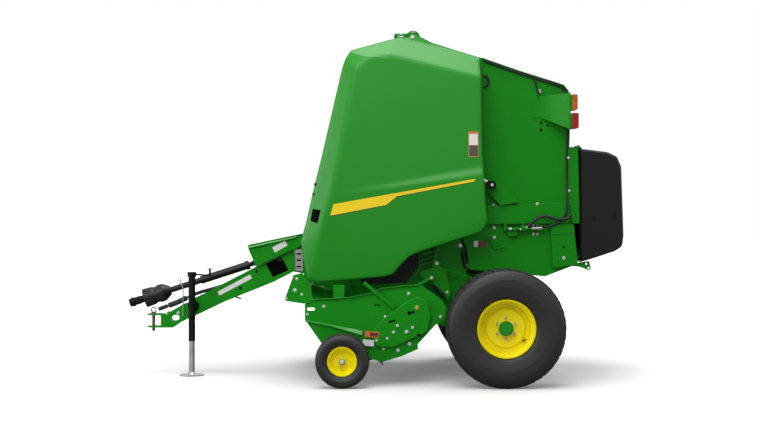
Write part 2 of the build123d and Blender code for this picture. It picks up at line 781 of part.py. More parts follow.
# Net box: frame posts behind the gate and the hinged cover
NET_POST = [(1603, 1243), (1595, 1305), (1577, 1412), (1577, 1773), (1580, 1843), (1648, 1843), (1660, 1243)]
COVER_SIDE = [(1664, 1831, 0), (1730, 1824, 30), (1885, 1804, 60), (1958, 1768, 40), (1991, 1690, 60),
              (2009, 1152, 60), (2000, 1060, 50), (1940, 1022, 40), (1770, 966, 30), (1664, 935, 0)]


def net_box():
    posts = both(slab(NET_POST, -side_outer - 20, -chamber_half + 20))
    inside = chamber_half - 20
    tray = slab([(1590, 1206), (1590, 1000), (1640, 960), (1900, 1050), (1900, 1056), (1640, 968), (1598, 1004),
                 (1598, 1206)], -inside, inside)
    back = bar(1584, 1592, -inside, inside, 1206, 1835)
    rod = across(net_hinge_x, net_hinge_z, net_rod_radius, -side_outer - 20, side_outer + 20)
    body = posts[0] + posts[1] + back + tray
    for end in both(slab([(1640, 1843), (1664, 1843), (1660, 1858), (1644, 1858)], -side_outer - 20, -side_outer)):
        body += end
    return body + rod


def softened(face, half):
    """One outline across the machine, its two ends drawn in at a bevel."""
    body = thick(face, -half + net_round, half - net_round)
    end = Plane((0, -half + net_round, 0), x_dir=(1, 0, 0), z_dir=(0, -1, 0))
    for cap in both(extrude(end * face, amount=net_round, taper=35)):
        body += cap
    return body


def net_cover():
    """A moulded shell with softened ends, open towards the gate, on three hinge knuckles."""
    half = side_outer + cover_over
    face = rounded(COVER_SIDE)
    shell = softened(face, half) - softened(offset(face, amount=-net_wall), half - net_wall)
    mouth = half - net_round - net_wall
    shell -= bar(1600, 1680, -mouth, mouth, 938, 1828)
    for i in (-1, 0, 1):
        y_low = i * (half - 150) - net_knuckle_length / 2
        y_high = y_low + net_knuckle_length
        knuckle = across(net_hinge_x, net_hinge_z, net_rod_radius + 6, y_low, y_high)
        knuckle += slab([(net_hinge_x, net_hinge_z + 12), (net_hinge_x + 40, net_hinge_z + 2), (1700, 1827),
                         (1668, 1828)], y_low, y_high)
        shell += knuckle - across(net_hinge_x, net_hinge_z, net_rod_radius + pin_play, y_low, y_high)
    return shell


# Gate cylinders

barrel_top = Vector(gate_cylinder_top[0], -gate_cylinder_y, gate_cylinder_top[1])
rod_eye = Vector(gate_cylinder_eye[0], -gate_cylinder_y, gate_cylinder_eye[1])
reach = (rod_eye - barrel_top).length
reach_line = (rod_eye - barrel_top).normalized()
rod_inner_end = gate_barrel_length - gate_rod_in_barrel


def on_reach(radius, start, end):
    """A round length of the gate cylinder, by distances from its top pin."""
    return Plane(barrel_top + reach_line * start, z_dir=reach_line) * Cylinder(
        radius, end - start, align=(Align.CENTER, Align.CENTER, Align.MIN))


def gate_barrel(side):
    half = gate_eye_width / 2
    cap = gate_barrel_cap
    body = on_reach(gate_barrel_radius, 45, gate_barrel_length)
    body += on_reach(gate_barrel_radius + 3, gate_barrel_length - cap - 20, gate_barrel_length)
    body += across(barrel_top.X, barrel_top.Z, gate_eye_radius, barrel_top.Y - half, barrel_top.Y + half)
    body += on_reach(22, 20, 60)
    body -= on_reach(gate_barrel_radius - gate_barrel_wall, 80, gate_barrel_length - cap)
    body -= on_reach(gate_rod_radius + 0.5, gate_barrel_length - cap - 10, gate_barrel_length)
    body -= across(barrel_top.X, barrel_top.Z, gate_eye_pin_radius + pin_play, barrel_top.Y - half,
                   barrel_top.Y + half)
    return at_side(side, body)


def gate_rod(side):
    half = gate_eye_width / 2
    body = on_reach(gate_rod_radius, rod_inner_end, reach)
    body += across(rod_eye.X, rod_eye.Z, gate_eye_radius, rod_eye.Y - half, rod_eye.Y + half)
    body += across(rod_eye.X, rod_eye.Z, gate_eye_pin_radius, rod_eye.Y - half - gate_pin_stand,
                   rod_eye.Y + half + gate_pin_stand)
    return at_side(side, body)


# Wheels

def main_tyre(side):
    """Sidewall bulge and shoulder as arcs, tread crown almost flat."""
    half = tyre_width / 2
    r = tyre_radius
    bead = rim_radius
    points = [(bead, -half + rim_inset, 0), (bead + 28, -half + 14, 18), (r - 95, -half, 60),
              (r - 12, -half + 22, 34), (r, -half + 110, 160), (r, half - 110, 160), (r - 12, half - 22, 34),
              (r - 95, half, 60), (bead + 28, half - 14, 18), (bead, half - rim_inset, 0)]
    return at_side(side, Pos(wheel_x, -wheel_y, wheel_z) * revolve(rounded(points), axis=Axis.Y))


def main_rim(side):
    """Pressed rim with drop centre and dished disc, hub, studs and hub cap."""
    half = tyre_width / 2 - rim_inset - touch
    r = rim_radius - touch
    bore = spindle_radius + pin_play
    profile = [(bore, -hub_half), (hub_radius, -hub_half), (hub_radius, -44), (r - 84, -52), (r - 66, -34),
               (r - 44, -34), (r - 36, -half + 30), (r - rim_lip, -half + 6), (r - rim_lip, -half - 8),
               (r - 4, -half - 8), (r, -half), (r, half), (r - 4, half + 8), (r - rim_lip, half + 8),
               (r - rim_lip, half - 6), (r - 36, half - 30), (r - 36, -18), (r - 60, -18), (r - 80, -36),
               (hub_radius, -30), (hub_radius, hub_half), (bore, hub_half)]
    body = turned(profile, wheel_x, -wheel_y, wheel_z)
    face = -wheel_y - hub_half
    body += across(wheel_x, wheel_z, hub_cap_radius, face - hub_cap_stand + 12, face)
    cap = across(wheel_x, wheel_z, hub_cap_radius - 10, face - hub_cap_stand, face - hub_cap_stand + 12)
    body += cap
    body -= across(wheel_x, wheel_z, bore, face, -wheel_y)
    for i in range(stud_count):
        turn = math.radians(360 * i / stud_count + 90)
        body += across(wheel_x + stud_circle * math.cos(turn), wheel_z + stud_circle * math.sin(turn),
                       stud_radius,
                       -wheel_y - 64, -wheel_y - 36)
    return at_side(side, body)


def gauge_tyre(side):
    half = gauge_tyre_width / 2
    r = gauge_tyre_radius
    points = [(gauge_rim_radius, -half + 20, 0), (gauge_rim_radius + 14, -half + 6, 8), (r - 50, -half, 30),
              (r - 8, -half + 10, 18), (r, -half + 45, 60), (r, half - 45, 60), (r - 8, half - 10, 18),
              (r - 50, half, 30), (gauge_rim_radius + 14, half - 6, 8), (gauge_rim_radius, half - 20, 0)]
    return at_side(side, Pos(gauge_x, -gauge_y, gauge_z) * revolve(rounded(points), axis=Axis.Y))


def gauge_rim(side):
    half = gauge_tyre_width / 2 - 20
    r = gauge_rim_radius - touch
    bore = gauge_spindle_radius + pin_play
    profile = [(bore, -gauge_hub_half), (gauge_hub_radius, -gauge_hub_half), (gauge_hub_radius, -16),
               (r - 46, -16), (r - 34, -26), (r - 14, -half + 10), (r - 8, -half - 4), (r, -half - 4),
               (r, half + 4), (r - 8, half + 4), (r - 14, half - 10), (r - 28, -14), (r - 44, -6),
               (gauge_hub_radius, -6), (gauge_hub_radius, 45),
               (bore, 45)]
    return at_side(side, turned(profile, gauge_x, -gauge_y, gauge_z))


# Pickup

PICKUP_TOP = [(-422, 665), (-139, 681), (36, 719), (95, 749), (271, 770), (388, 780)]
PICKUP_REST = [(562, 658), (593, 598), (580, 515), (510, 463), (376, 317), (380, 283), (250, 226), (111, 185),
               (46, 199), (-60, 240), (-230, 270), (-362, 329), (-487, 505), (-488, 627)]
PICKUP_CREASE = [(-487, 500), (-278, 459), (-121, 412), (-74, 384)]
PICKUP_SLOTS = [(-440, 588, 60, 22), (66, 618, 56, 14)]


def pickup_side(side):
    plate = slab(PICKUP_TOP + PICKUP_REST, -pickup_half, -pickup_inside)
    plate += thick(strip(PICKUP_TOP, -pickup_plate), -pickup_half - pickup_fold, -pickup_half)
    plate += thick(strip(PICKUP_CREASE, -pickup_plate), -pickup_half - pickup_fold, -pickup_half)
    for x, z, length, height in PICKUP_SLOTS:
        plate -= thick(Pos(x, z) * SlotOverall(length, height), -pickup_half, -pickup_inside)
    plate += across(gauge_x, gauge_z, 40, -pickup_half - 6, -pickup_inside)
    plate += bar(-270, -185, -pickup_half, -pickup_half + 40, 660, 771)
    if side < 0:
        strut = strip([(205, 609), (-29, 803)], 24)
        plate += thick(strut, -pickup_half - pickup_fold - 4, -pickup_half - pickup_fold + 6)
        plate += across(190, 628, 11, -pickup_half - pickup_fold, -pickup_half)
    arm = slab([(-197, 270), (-150, 290), (0, 330), (0, 300), (-140, 240), (-160, gauge_z), (-234, gauge_z),
                (-234, 250)], -pickup_half - 6, -pickup_half)
    spindle = across(gauge_x, gauge_z, gauge_spindle_radius, -gauge_y - gauge_hub_half - 6, -pickup_half - 6)
    nut = across(gauge_x, gauge_z, gauge_spindle_radius + 8, -gauge_y - gauge_hub_half - 16,
                 -gauge_y - gauge_hub_half - 4)
    return at_side(side, plate + arm + spindle + nut)


def pickup_beams():
    beam = across(pickup_pivot_x, pickup_pivot_z, pickup_tube_radius, -pickup_inside, pickup_inside)
    low = bar(pickup_beam_x, pickup_beam_x + pickup_beam_width, -pickup_inside, pickup_inside, pickup_beam_z,
              pickup_beam_z + pickup_beam_width)
    lever = slab([(290, 690), (300, 725), (322, 722), (400, 620), (380, 575), (340, 580)], -lift_y - 8, -lift_y + 8)
    lever += across(lift_low[0], lift_low[1], lift_pin_radius, -lift_cylinder_y - lift_eye_half, -lift_y + 8)
    return beam + lever, low


def strippers():
    """Hoops between the tine rows, on one rail above and one under the low beam."""
    outer = stripper_radius
    rail = stripper_rail
    rail_top = pickup_beam_z - touch
    rail_low = rail_top - rail
    inner = stripper_radius - stripper_thick
    hoop = Circle(outer) - Circle(inner)
    hoop -= Pos(outer, 0) * Rectangle(2 * outer, 4 * outer)
    pieces = []
    for i in range(stripper_count):
        middle = (i - (stripper_count - 1) / 2) * stripper_pitch
        y_low = middle - stripper_width / 2
        y_high = middle + stripper_width / 2
        band = extrude(Plane((reel_x, y_high, reel_z), x_dir=(1, 0, 0), z_dir=(0, -1, 0)) * hoop,
                       amount=stripper_width)
        band += bar(reel_x, reel_x + 290, y_low, y_high, reel_z + inner, reel_z + outer)
        band += slab([(reel_x, reel_z - outer), (pickup_beam_x + rail / 2, rail_low + 4),
                      (pickup_beam_x + rail / 2, rail_low + 4 + stripper_thick), (reel_x, reel_z - inner)],
                     y_low, y_high)
        pieces.append(band)
    pieces.append(bar(pickup_beam_x, pickup_beam_x + rail, -pickup_inside, pickup_inside, rail_low, rail_top))
    return bar(reel_x + 285, reel_x + 285 + rail, -pickup_inside, pickup_inside, reel_z + outer - rail,
               reel_z + outer) + pieces


def reel():
    """Tine bars between two end discs, with spring tines in the gaps between the hoops."""
    inside = pickup_inside - reel_end_gap
    ends = pickup_inside - touch
    body = across(reel_x, reel_z, reel_core_radius, -inside, inside)
    body += across(reel_x, reel_z, reel_shaft_radius, -ends, ends)
    for y in (-inside, inside - reel_disc_thick):
        body += across(reel_x, reel_z, tine_bar_radius + 20, y, y + reel_disc_thick)
    tines = []
    for q in range(tine_bar_count):
        angle = math.radians(45 + 360 * q / tine_bar_count)
        out = Vector(math.cos(angle), 0, math.sin(angle))
        root = Vector(reel_x, 0, reel_z) + out * tine_bar_radius
        tines.append(across(root.X, root.Z, tine_bar_thick, -inside, inside))
        for i in range(stripper_count - 1):
            y = (i - (stripper_count - 2) / 2) * stripper_pitch
            tines.append(Plane(root + Vector(0, y, 0), x_dir=(0, 1, 0), z_dir=out) * Box(
                tine_size, tine_size, tine_radius - tine_bar_radius,
                align=(Align.CENTER, Align.CENTER, Align.MIN)))
    return body + tines


WIND_PLATE = [(-641, 665, 6), (-573, 850, 8), (-505, 865, 12), (-440, 760, 20), (-430, 672, 10), (-440, 640, 8),
              (-495, 629, 10), (-637, 651, 8)]
wind_front = (-608.0, 676.0)
wind_rear = (-525.0, 690.0)
wind_knee = (-400.0, 650.0)
wind_tip = (-190.0, 636.0)


def windguard():
    """Two end plates, two cross tubes and a row of rods that hold the crop down."""
    body = joined(both(thick(rounded(WIND_PLATE), -pickup_half - wind_plate_thick, -pickup_half)))
    for x, z in (wind_front, wind_rear):
        body += across(x, z, wind_tube_radius, -pickup_half, pickup_half)
    count = int((2 * pickup_half - 100) // wind_tine_pitch)
    rods = []
    for i in range(count + 1):
        y = (i - count / 2) * wind_tine_pitch
        knee = (wind_knee[0], y, wind_knee[1])
        rods.append(stick((wind_rear[0], y, wind_rear[1]), knee, wind_tine_radius))
        rods.append(stick(knee, (wind_tip[0], y, wind_tip[1]), wind_tine_radius))
        rods.append(Pos(*knee) * Sphere(wind_tine_radius))
    return body + rods


DRIVE_COVER = [(164, 552, 20), (305, 657, 60), (375, 682, 40), (455, 650, 50), (480, 530, 60), (445, 412, 30),
               (190, 300, 40), (60, 300, 40), (20, 400, 50), (71, 477, 20)]
cover_stand = 28.0
cover_bevel = 8.0


def drive_cover():
    face = rounded(DRIVE_COVER)
    body = thick(face, -pickup_half - cover_stand + cover_bevel, -pickup_half)
    top = Plane((0, -pickup_half - cover_stand + cover_bevel, 0), x_dir=(1, 0, 0), z_dir=(0, -1, 0))
    body += extrude(top * face, amount=cover_bevel, taper=30)
    face_y = -pickup_half - cover_stand
    for x, z, r in ((370, 602, 17), (291, 419, 9), (195, 415, 7), (336, 449, 7), (222, 453, 7)):
        body += across(x, z, r, face_y - 6, face_y)
    return body


def lift_axis():
    low = Vector(lift_high[0], -lift_cylinder_y, lift_high[1])
    end = Vector(lift_low[0], -lift_cylinder_y, lift_low[1])
    return low, end, (end - low).normalized()


def lift_barrel():
    low, _, line = lift_axis()
    body = Plane(low, z_dir=line) * Cylinder(lift_barrel_radius, lift_barrel_length,
                                             align=(Align.CENTER, Align.CENTER, Align.MIN))
    body -= Plane(low + line * 35, z_dir=line) * Cylinder(lift_rod_radius + pin_play, lift_barrel_length,
                                                          align=(Align.CENTER, Align.CENTER, Align.MIN))
    body += across(low.X, low.Z, lift_eye_radius, low.Y - lift_eye_half, low.Y + lift_eye_half)
    body -= across(low.X, low.Z, lift_pin_radius + pin_play, low.Y - 25, low.Y + 25)
    return body


def lift_rod():
    low, end, line = lift_axis()
    length = (end - low).length
    body = Plane(low + line * 62, z_dir=line) * Cylinder(lift_rod_radius, length - 62 - 16,
                                                         align=(Align.CENTER, Align.CENTER, Align.MIN))
    body += across(end.X, end.Z, lift_eye_radius, end.Y - lift_eye_half + 2, end.Y + lift_eye_half - 2)
    body -= across(end.X, end.Z, lift_pin_radius + 4, end.Y - lift_eye_half, end.Y + lift_eye_half)
    return body


LIFT_PLATE = [(398, 861, 10), (535, 908, 12), (594, 892, 14), (646, 700, 12), (622, 636, 14), (584, 640, 14),
              (570, 692, 8), (402, 829, 10)]
BRACE = ((574, 889), (1000, 752))
LIFT_RIBS = [(398, 905), (410, 950), (425, 995)]


def lower_brackets():
    """Bracket of the lift cylinder with three ribs above it, on the left side plate."""
    plate = thick(rounded(LIFT_PLATE), -lift_y, -lift_y + lift_plate)
    body = plate + slab([(430, 845), (560, 888), (596, 800), (586, 720), (520, 760)], -lift_y + lift_plate,
                        -side_outer)
    for x, z in LIFT_RIBS:
        body += slab([(x, z), (x + 112, z + 34), (x + 112, z + 46), (x, z + 12)], -lift_y, -side_outer)
    body += slab([(505, 920), (530, 928), (555, 1060), (530, 1060)], -lift_y, -side_outer)
    body += slab([(500, 890), (560, 905), (560, 960), (505, 960)], -lift_y, -side_outer)
    (x0, z0), (x1, z1) = BRACE
    y = -lift_y + lift_plate / 2
    body += stick((x0, y, z0), (x1, y, z1), lift_plate / 2)
    body += bar(x1 - 15, x1 + 15, -lift_y, -side_outer, z1 - 15, z1 + 15)
    return body + across(lift_high[0], lift_high[1], lift_pin_radius, -lift_cylinder_y - lift_eye_half - 6,
                         -lift_y)


# Coil springs on the left: start, end, y, y of the face that carries them, coil radius, wire radius, turns
SPRINGS = [((500, 762), (600, 655), -lift_y - 18, -lift_y, 13, 4, 11),
           ((736, 1026), (752, 898), -side_outer - 40, -side_outer, 11, 3.5, 12)]


def springs():
    """Tension springs turned with their ribs: the pickup's float spring and the one by the parting line."""
    out = []
    for (x0, z0), (x1, z1), y, seat_y, coil, wire, turns in SPRINGS:
        start = Vector(x0, y, z0)
        end = Vector(x1, y, z1)
        line = (end - start).normalized()
        length = (end - start).length
        pitch = 0.76 * length / turns
        waist = coil - wire
        profile = [(0, 0), (waist, 0)]
        for i in range(turns):
            low = 0.12 * length + i * pitch
            profile += [(waist, low), (coil + wire, low + 0.25 * pitch),
                        (coil + wire, low + 0.75 * pitch)]
        profile += [(waist, 0.88 * length), (waist, length), (0, length)]
        body = Plane(start, x_dir=(0, 1, 0), z_dir=line) * revolve(Plane.XZ * outline(profile), axis=Axis.Z)
        for x, z in ((x0, z0), (x1, z1)):
            body += across(x, z, waist - 1, y - 6, seat_y)
        out.append(body)
    return out


# Shields

SHIELD_OUT = [
    (-181, 2522, 30), (-207, 2446, 30), (-372, 1730, 60), (-413, 1570, 60), (-485, 1252, 30), (-527, 1100, 30),
    (-491, 881, 30), (-470, 812, 16), (-398, 788, 20), (116, 830, 60), (188, 850, 60), (249, 922, 80),
    (311, 985, 60), (385, 1022, 80), (868, 1176, 60), (916, 1252, 60), (902, 1365, 60), (878, 1807, 60),
    (866, 2548, 0), (497, 2662, 0), (344, 2740, 0), (300, 2725, 0), (-140, 2592, 30),
]


def outside(a, b, c, inset):
    """The space outside the plane through three points of the left shield, moved in by the inset."""
    normal = (Vector(*b) - Vector(*a)).cross(Vector(*c) - Vector(*a)).normalized()
    if normal.Y > 0:
        normal = normal * -1
    origin = Vector(*a) - normal * inset
    return Plane(origin, z_dir=normal) * Box(6000, 6000, 600, align=(Align.CENTER, Align.CENTER, Align.MIN))


def shield_cuts(inset):
    """Chamfers of the outer face, and the shallow step above the crease that runs over the stripe."""
    out = -shield_outer
    inner = -shield_inner
    rear = outside((153, out, 2502), (875, out, 2319), (600, inner, 2624), inset)
    front_top = outside((-27, out, 2410), (153, out, 2502), (300, inner, 2725), inset)
    front = outside((-27, out, 2394), (-361, out, 1189), (-413, out + 75, 1570), inset)
    low_front = outside((-361, out, 1189), (-400, out, 800), (-500, out + 45, 900), inset)
    crease = outside((-254, out, 1469), (868, out, 1638), (868, out + shield_step, 1715), inset)
    upper = outside((-254, out, 1469), (868, out + shield_step, 1715), (153, out + 1.8 * shield_step, 2502),
                    inset)
    return rear, front_top, front, low_front, crease & upper


def shield(side):
    face = rounded(SHIELD_OUT)
    block = thick(face, -shield_outer, -shield_inner)
    core = thick(offset(face, amount=-shield_wall), -shield_outer + shield_wall, -shield_inner)
    core += thick(offset(face, amount=shield_wall), -shield_outer + shield_flange, -shield_inner)
    for cut in shield_cuts(0):
        block -= cut
    for cut in shield_cuts(shield_wall):
        core -= cut
    skin = block - core
    pivot = (-shield_hinge_y, shield_hinge_z)
    for x_low, x_high in HINGE_LEAVES:
        leaf = outline([(pivot[0] + 8, pivot[1] + 12), (pivot[0] + 12, pivot[1] - 10),
                        (-shield_inner - 12, 2672), (-shield_inner - 32, 2660), (-shield_inner + 5, 2738)])
        leaf = extrude(Plane.YZ.offset(x_low) * leaf, amount=x_high - x_low)
        leaf -= stick((x_low - 1, *pivot), (x_high + 1, *pivot), shield_pin_radius + pin_play)
        skin += leaf
    return at_side(side, skin)


os.makedirs("parts", exist_ok=True)

for name, side in SIDES:
    save("frame_side_" + name, frame_side(side))
    save("gate_side_" + name, gate_side(side))
    save("shield_" + name, shield(side))
    save("gate_barrel_" + name, gate_barrel(side))
    save("gate_rod_" + name, gate_rod(side))
    save("main_tyre_" + name, main_tyre(side))
    save("main_rim_" + name, main_rim(side))
    save("gauge_tyre_" + name, gauge_tyre(side))
    save("gauge_rim_" + name, gauge_rim(side))
    save("pickup_side_" + name, pickup_side(side))
save("axle", axle())
save("frame_beams", *frame_beams())
save("front_panel", front_panel())
save("inner_panels", *inner_panels())
save("frame_rolls", *rolls(FRAME_ROLLS))
save("frame_belts", *belts(FRAME_ROLLS))
save("drive_chain", *drive_chain())
save("tongue", tongue())
save("hitch_clevis", hitch_clevis())
save("hitch_pin", hitch_pin())
save("gearbox", gearbox())
save("tongue_cover", tongue_cover())
save("drawbar_fittings", *drawbar_fittings())
save("hoses", *hoses())
save("jack_tube", jack_tube())
save("jack_leg", jack_leg())
save("driveline_rear", driveline_rear())
save("driveline_guard", driveline_guard())
save("driveline_yoke", driveline_yoke())
save("lower_brackets", lower_brackets())
save("gate_beams", *gate_beams())
save("gate_latches", *gate_latches())
save("gate_harness", gate_harness())
save("gate_rolls", *rolls(GATE_ROLLS))
save("gate_belts", *belts(GATE_ROLLS))
save("corner_boxes", *corner_boxes())
save("rear_brackets", *rear_brackets())
save("lamp_brackets", *lamp_brackets())
for name, z_low, z_high, length in LAMPS:
    save(name, *lamps(z_low, z_high, length))
save("net_box", net_box())
save("net_cover", net_cover())
save("pickup_beams", *pickup_beams())
save("strippers", strippers())
save("reel", reel())
save("windguard", windguard())
save("drive_cover", drive_cover())
save("springs", *springs())
save("lift_barrel", lift_barrel())
save("lift_rod", lift_rod())
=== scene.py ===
import math

import bmesh
import bpy
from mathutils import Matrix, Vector
from mathutils.geometry import delaunay_2d_cdt


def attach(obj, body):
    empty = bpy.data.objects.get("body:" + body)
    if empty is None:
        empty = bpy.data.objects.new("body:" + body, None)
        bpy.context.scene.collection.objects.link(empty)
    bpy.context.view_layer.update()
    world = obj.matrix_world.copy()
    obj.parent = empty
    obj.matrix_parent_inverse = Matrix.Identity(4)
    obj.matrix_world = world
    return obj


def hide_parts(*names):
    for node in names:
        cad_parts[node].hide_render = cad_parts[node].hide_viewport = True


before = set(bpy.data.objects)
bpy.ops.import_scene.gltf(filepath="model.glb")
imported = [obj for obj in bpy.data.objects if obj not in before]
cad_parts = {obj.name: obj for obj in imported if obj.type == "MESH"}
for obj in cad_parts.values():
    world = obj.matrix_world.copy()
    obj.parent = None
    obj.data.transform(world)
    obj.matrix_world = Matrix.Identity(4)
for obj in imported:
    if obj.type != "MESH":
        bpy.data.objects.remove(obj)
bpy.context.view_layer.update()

# Studio: a level camera far off the machine's left side, soft lamps round it and an evenly lit white room.
# The horizon lies two pixels under the middle of the picture, which the camera's small shift gives.
WHITE = (1.0, 1.0, 1.0, 1.0)
SOFT_LAMPS = [  # name, place, target, size in metres, power in watts
    ("lamp_left_high", (-1.5, -7.0, 7.5), (0.0, 0.0, 1.2), 6.0, 430.0),
    ("lamp_overhead", (0.3, -0.6, 8.5), (0.3, 0.0, 1.0), 5.0, 330.0),
    ("lamp_front_low", (-8.5, -4.5, 3.2), (-0.3, -0.5, 1.5), 3.5, 230.0),
    ("lamp_behind", (3.5, 6.5, 5.5), (0.0, 0.0, 1.2), 5.0, 300.0),
]


def placed(name, data):
    """An object of the scene that shows the given data."""
    made = bpy.data.objects.new(name, data)
    bpy.context.collection.objects.link(made)
    return made


def add_node(tree, kind, sockets=None, **settings):
    """A new node, with its settings made and its sockets given their values."""
    node = tree.nodes.new(kind)
    for name, value in settings.items():
        setattr(node, name, value)
    for socket, value in (sockets or {}).items():
        node.inputs[socket].default_value = value
    return node


def wire(tree, *links):
    """Links given as node, output, node and input."""
    for source, output, target, socket in links:
        tree.links.new(source.outputs[output], target.inputs[socket])


camera_data = bpy.data.cameras.new("camera")
camera_data.lens = 63.8
camera_data.sensor_width = 36.0
camera_data.shift_y = 2.0 / 760.0
camera_data.clip_end = 200.0
camera = placed("camera", camera_data)
camera.location = (0.088, -11.25, 1.30)
camera.rotation_euler = (math.radians(90.0), 0.0, 0.0)
bpy.context.scene.camera = camera
bpy.context.scene.view_settings.view_transform = "Standard"

for lamp_name, place, target, size, power in SOFT_LAMPS:
    lamp_data = bpy.data.lights.new(lamp_name, "AREA")
    lamp_data.shape = "SQUARE"
    lamp_data.size = size
    lamp_data.energy = power
    lamp = placed(lamp_name, lamp_data)
    lamp.location = place
    lamp.rotation_euler = (Vector(target) - Vector(place)).to_track_quat("-Z", "Y").to_euler()

world = bpy.data.worlds.new("white_studio")
bpy.context.scene.world = world
world.use_nodes = True
room = world.node_tree
room.nodes.clear()
backdrop = add_node(room, "ShaderNodeBackground", {"Color": WHITE, "Strength": 1.0})
ambient = add_node(room, "ShaderNodeBackground", {"Color": WHITE, "Strength": 0.42})
ray = add_node(room, "ShaderNodeLightPath")
camera_or_gloss = add_node(room, "ShaderNodeMath", operation="MAXIMUM")
or_glass = add_node(room, "ShaderNodeMath", operation="MAXIMUM")
which = add_node(room, "ShaderNodeMixShader")
room_out = add_node(room, "ShaderNodeOutputWorld")
wire(room, (ray, "Is Camera Ray", camera_or_gloss, 0), (ray, "Is Glossy Ray", camera_or_gloss, 1),
     (camera_or_gloss, 0, or_glass, 0), (ray, "Is Transmission Ray", or_glass, 1), (or_glass, 0, which, 0),
     (ambient, 0, which, 1), (backdrop, 0, which, 2), (which, 0, room_out, "Surface"))

# Floor: a pale sweep of painted board under the whole machine. It is white to the eye away from the machine
# and keeps the machine's soft shadow near it.
FLOOR_REACH = 60.0
floor_mesh = bpy.data.meshes.new("floor")
floor_mesh.from_pydata([(-FLOOR_REACH, -FLOOR_REACH, 0), (FLOOR_REACH, -FLOOR_REACH, 0),
                        (FLOOR_REACH, FLOOR_REACH, 0), (-FLOOR_REACH, FLOOR_REACH, 0)], [], [(0, 1, 2, 3)])
floor = placed("floor", floor_mesh)
floor_paint = bpy.data.materials.new("pale_floor")
floor_paint.use_nodes = True
board = floor_paint.node_tree
board.nodes.clear()
matt = add_node(board, "ShaderNodeBsdfDiffuse")
tint = add_node(board, "ShaderNodeMix", {"A": (0.36, 0.36, 0.36, 1.0), "B": (0.79, 0.79, 0.79, 1.0)},
                data_type="RGBA")
glow = add_node(board, "ShaderNodeEmission", {"Color": WHITE})
where = add_node(board, "ShaderNodeTexCoord")
from_middle = add_node(board, "ShaderNodeVectorMath", operation="LENGTH")
fade = add_node(board, "ShaderNodeMapRange", {"From Min": 1.6, "From Max": 4.6, "To Min": 0.12, "To Max": 1.0},
                interpolation_type="SMOOTHSTEP")
ray = add_node(board, "ShaderNodeLightPath")
seen = add_node(board, "ShaderNodeMath", operation="MULTIPLY")
both = add_node(board, "ShaderNodeAddShader")
floor_out = add_node(board, "ShaderNodeOutputMaterial")
wire(board, (where, "Object", from_middle, 0), (from_middle, "Value", fade, "Value"),
     (ray, "Is Camera Ray", tint, "Factor"), (tint, "Result", matt, "Color"), (ray, "Is Camera Ray", seen, 0),
     (fade, "Result", seen, 1), (seen, 0, glow, "Strength"), (matt, 0, both, 0), (glow, 0, both, 1),
     (both, 0, floor_out, "Surface"))
floor.data.materials.append(floor_paint)

# Side plates, beams and front panel of the frame, and the gate's plates: folded and welded steel sheet in
# green enamel. Folded edges catch a thin line of light from their small round and get a paler painted highlight,
# and the enamel drifts a little in tone and gloss.
GREEN = (0.0045, 0.240, 0.0040)


def shader_group(name, inputs, outputs):
    """An empty shader node group with named sockets, and its two end nodes."""
    group = bpy.data.node_groups.new(name, "ShaderNodeTree")
    for label, kind in inputs:
        group.interface.new_socket(label, in_out="INPUT", socket_type="NodeSocket" + kind)
    for label, kind in outputs:
        group.interface.new_socket(label, in_out="OUTPUT", socket_type="NodeSocket" + kind)
    return group, group.nodes.new("NodeGroupInput"), group.nodes.new("NodeGroupOutput")


def tone_and_grain():
    """Slow drift of tone and a fine grain, both in the object's own space."""
    group, given, out = shader_group(
        "tone_and_grain",
        [("Base", "Color"), ("Tone", "Float"), ("Tone Scale", "Float"), ("Grain Scale", "Float"),
         ("Rough Low", "Float"), ("Rough High", "Float")],
        [("Color", "Color"), ("Roughness", "Float"), ("Height", "Float")])
    where = add_node(group, "ShaderNodeTexCoord")
    slow = add_node(group, "ShaderNodeTexNoise", {"Detail": 5.0})
    fine = add_node(group, "ShaderNodeTexNoise", {"Detail": 3.0})
    for noise, scale in ((slow, "Tone Scale"), (fine, "Grain Scale")):
        wire(group, (where, "Object", noise, "Vector"), (given, scale, noise, "Scale"))
    less = add_node(group, "ShaderNodeMath", {0: 1.0}, operation="SUBTRACT")
    more = add_node(group, "ShaderNodeMath", {0: 1.0}, operation="ADD")
    drift, gloss = (add_node(group, "ShaderNodeMapRange", {"From Min": 0.3, "From Max": 0.7}) for _ in range(2))
    shade = add_node(group, "ShaderNodeVectorMath", operation="SCALE")
    wire(group, (given, "Tone", less, 1), (given, "Tone", more, 1), (slow, "Fac", drift, "Value"),
         (less, 0, drift, "To Min"), (more, 0, drift, "To Max"), (fine, "Fac", gloss, "Value"),
         (given, "Rough Low", gloss, "To Min"), (given, "Rough High", gloss, "To Max"),
         (given, "Base", shade, 0), (drift, "Result", shade, "Scale"), (shade, "Vector", out, "Color"),
         (gloss, "Result", out, "Roughness"), (fine, "Fac", out, "Height"))
    return group


def folded_edge():
    """A small round on every edge, and a mask of where the edges are."""
    group, given, out = shader_group("folded_edge", [("Radius", "Float")],
                                     [("Normal", "Vector"), ("Mask", "Float")])
    bevel = add_node(group, "ShaderNodeBevel", samples=4)
    facing = add_node(group, "ShaderNodeNewGeometry")
    along = add_node(group, "ShaderNodeVectorMath", operation="DOT_PRODUCT")
    mask = add_node(group, "ShaderNodeMapRange", {"From Min": 0.995, "From Max": 0.90})
    wire(group, (given, "Radius", bevel, "Radius"), (bevel, "Normal", along, 0), (facing, "Normal", along, 1),
         (along, "Value", mask, "Value"), (bevel, "Normal", out, "Normal"), (mask, "Result", out, "Mask"))
    return group


TONE_AND_GRAIN = tone_and_grain()
FOLDED_EDGE = folded_edge()


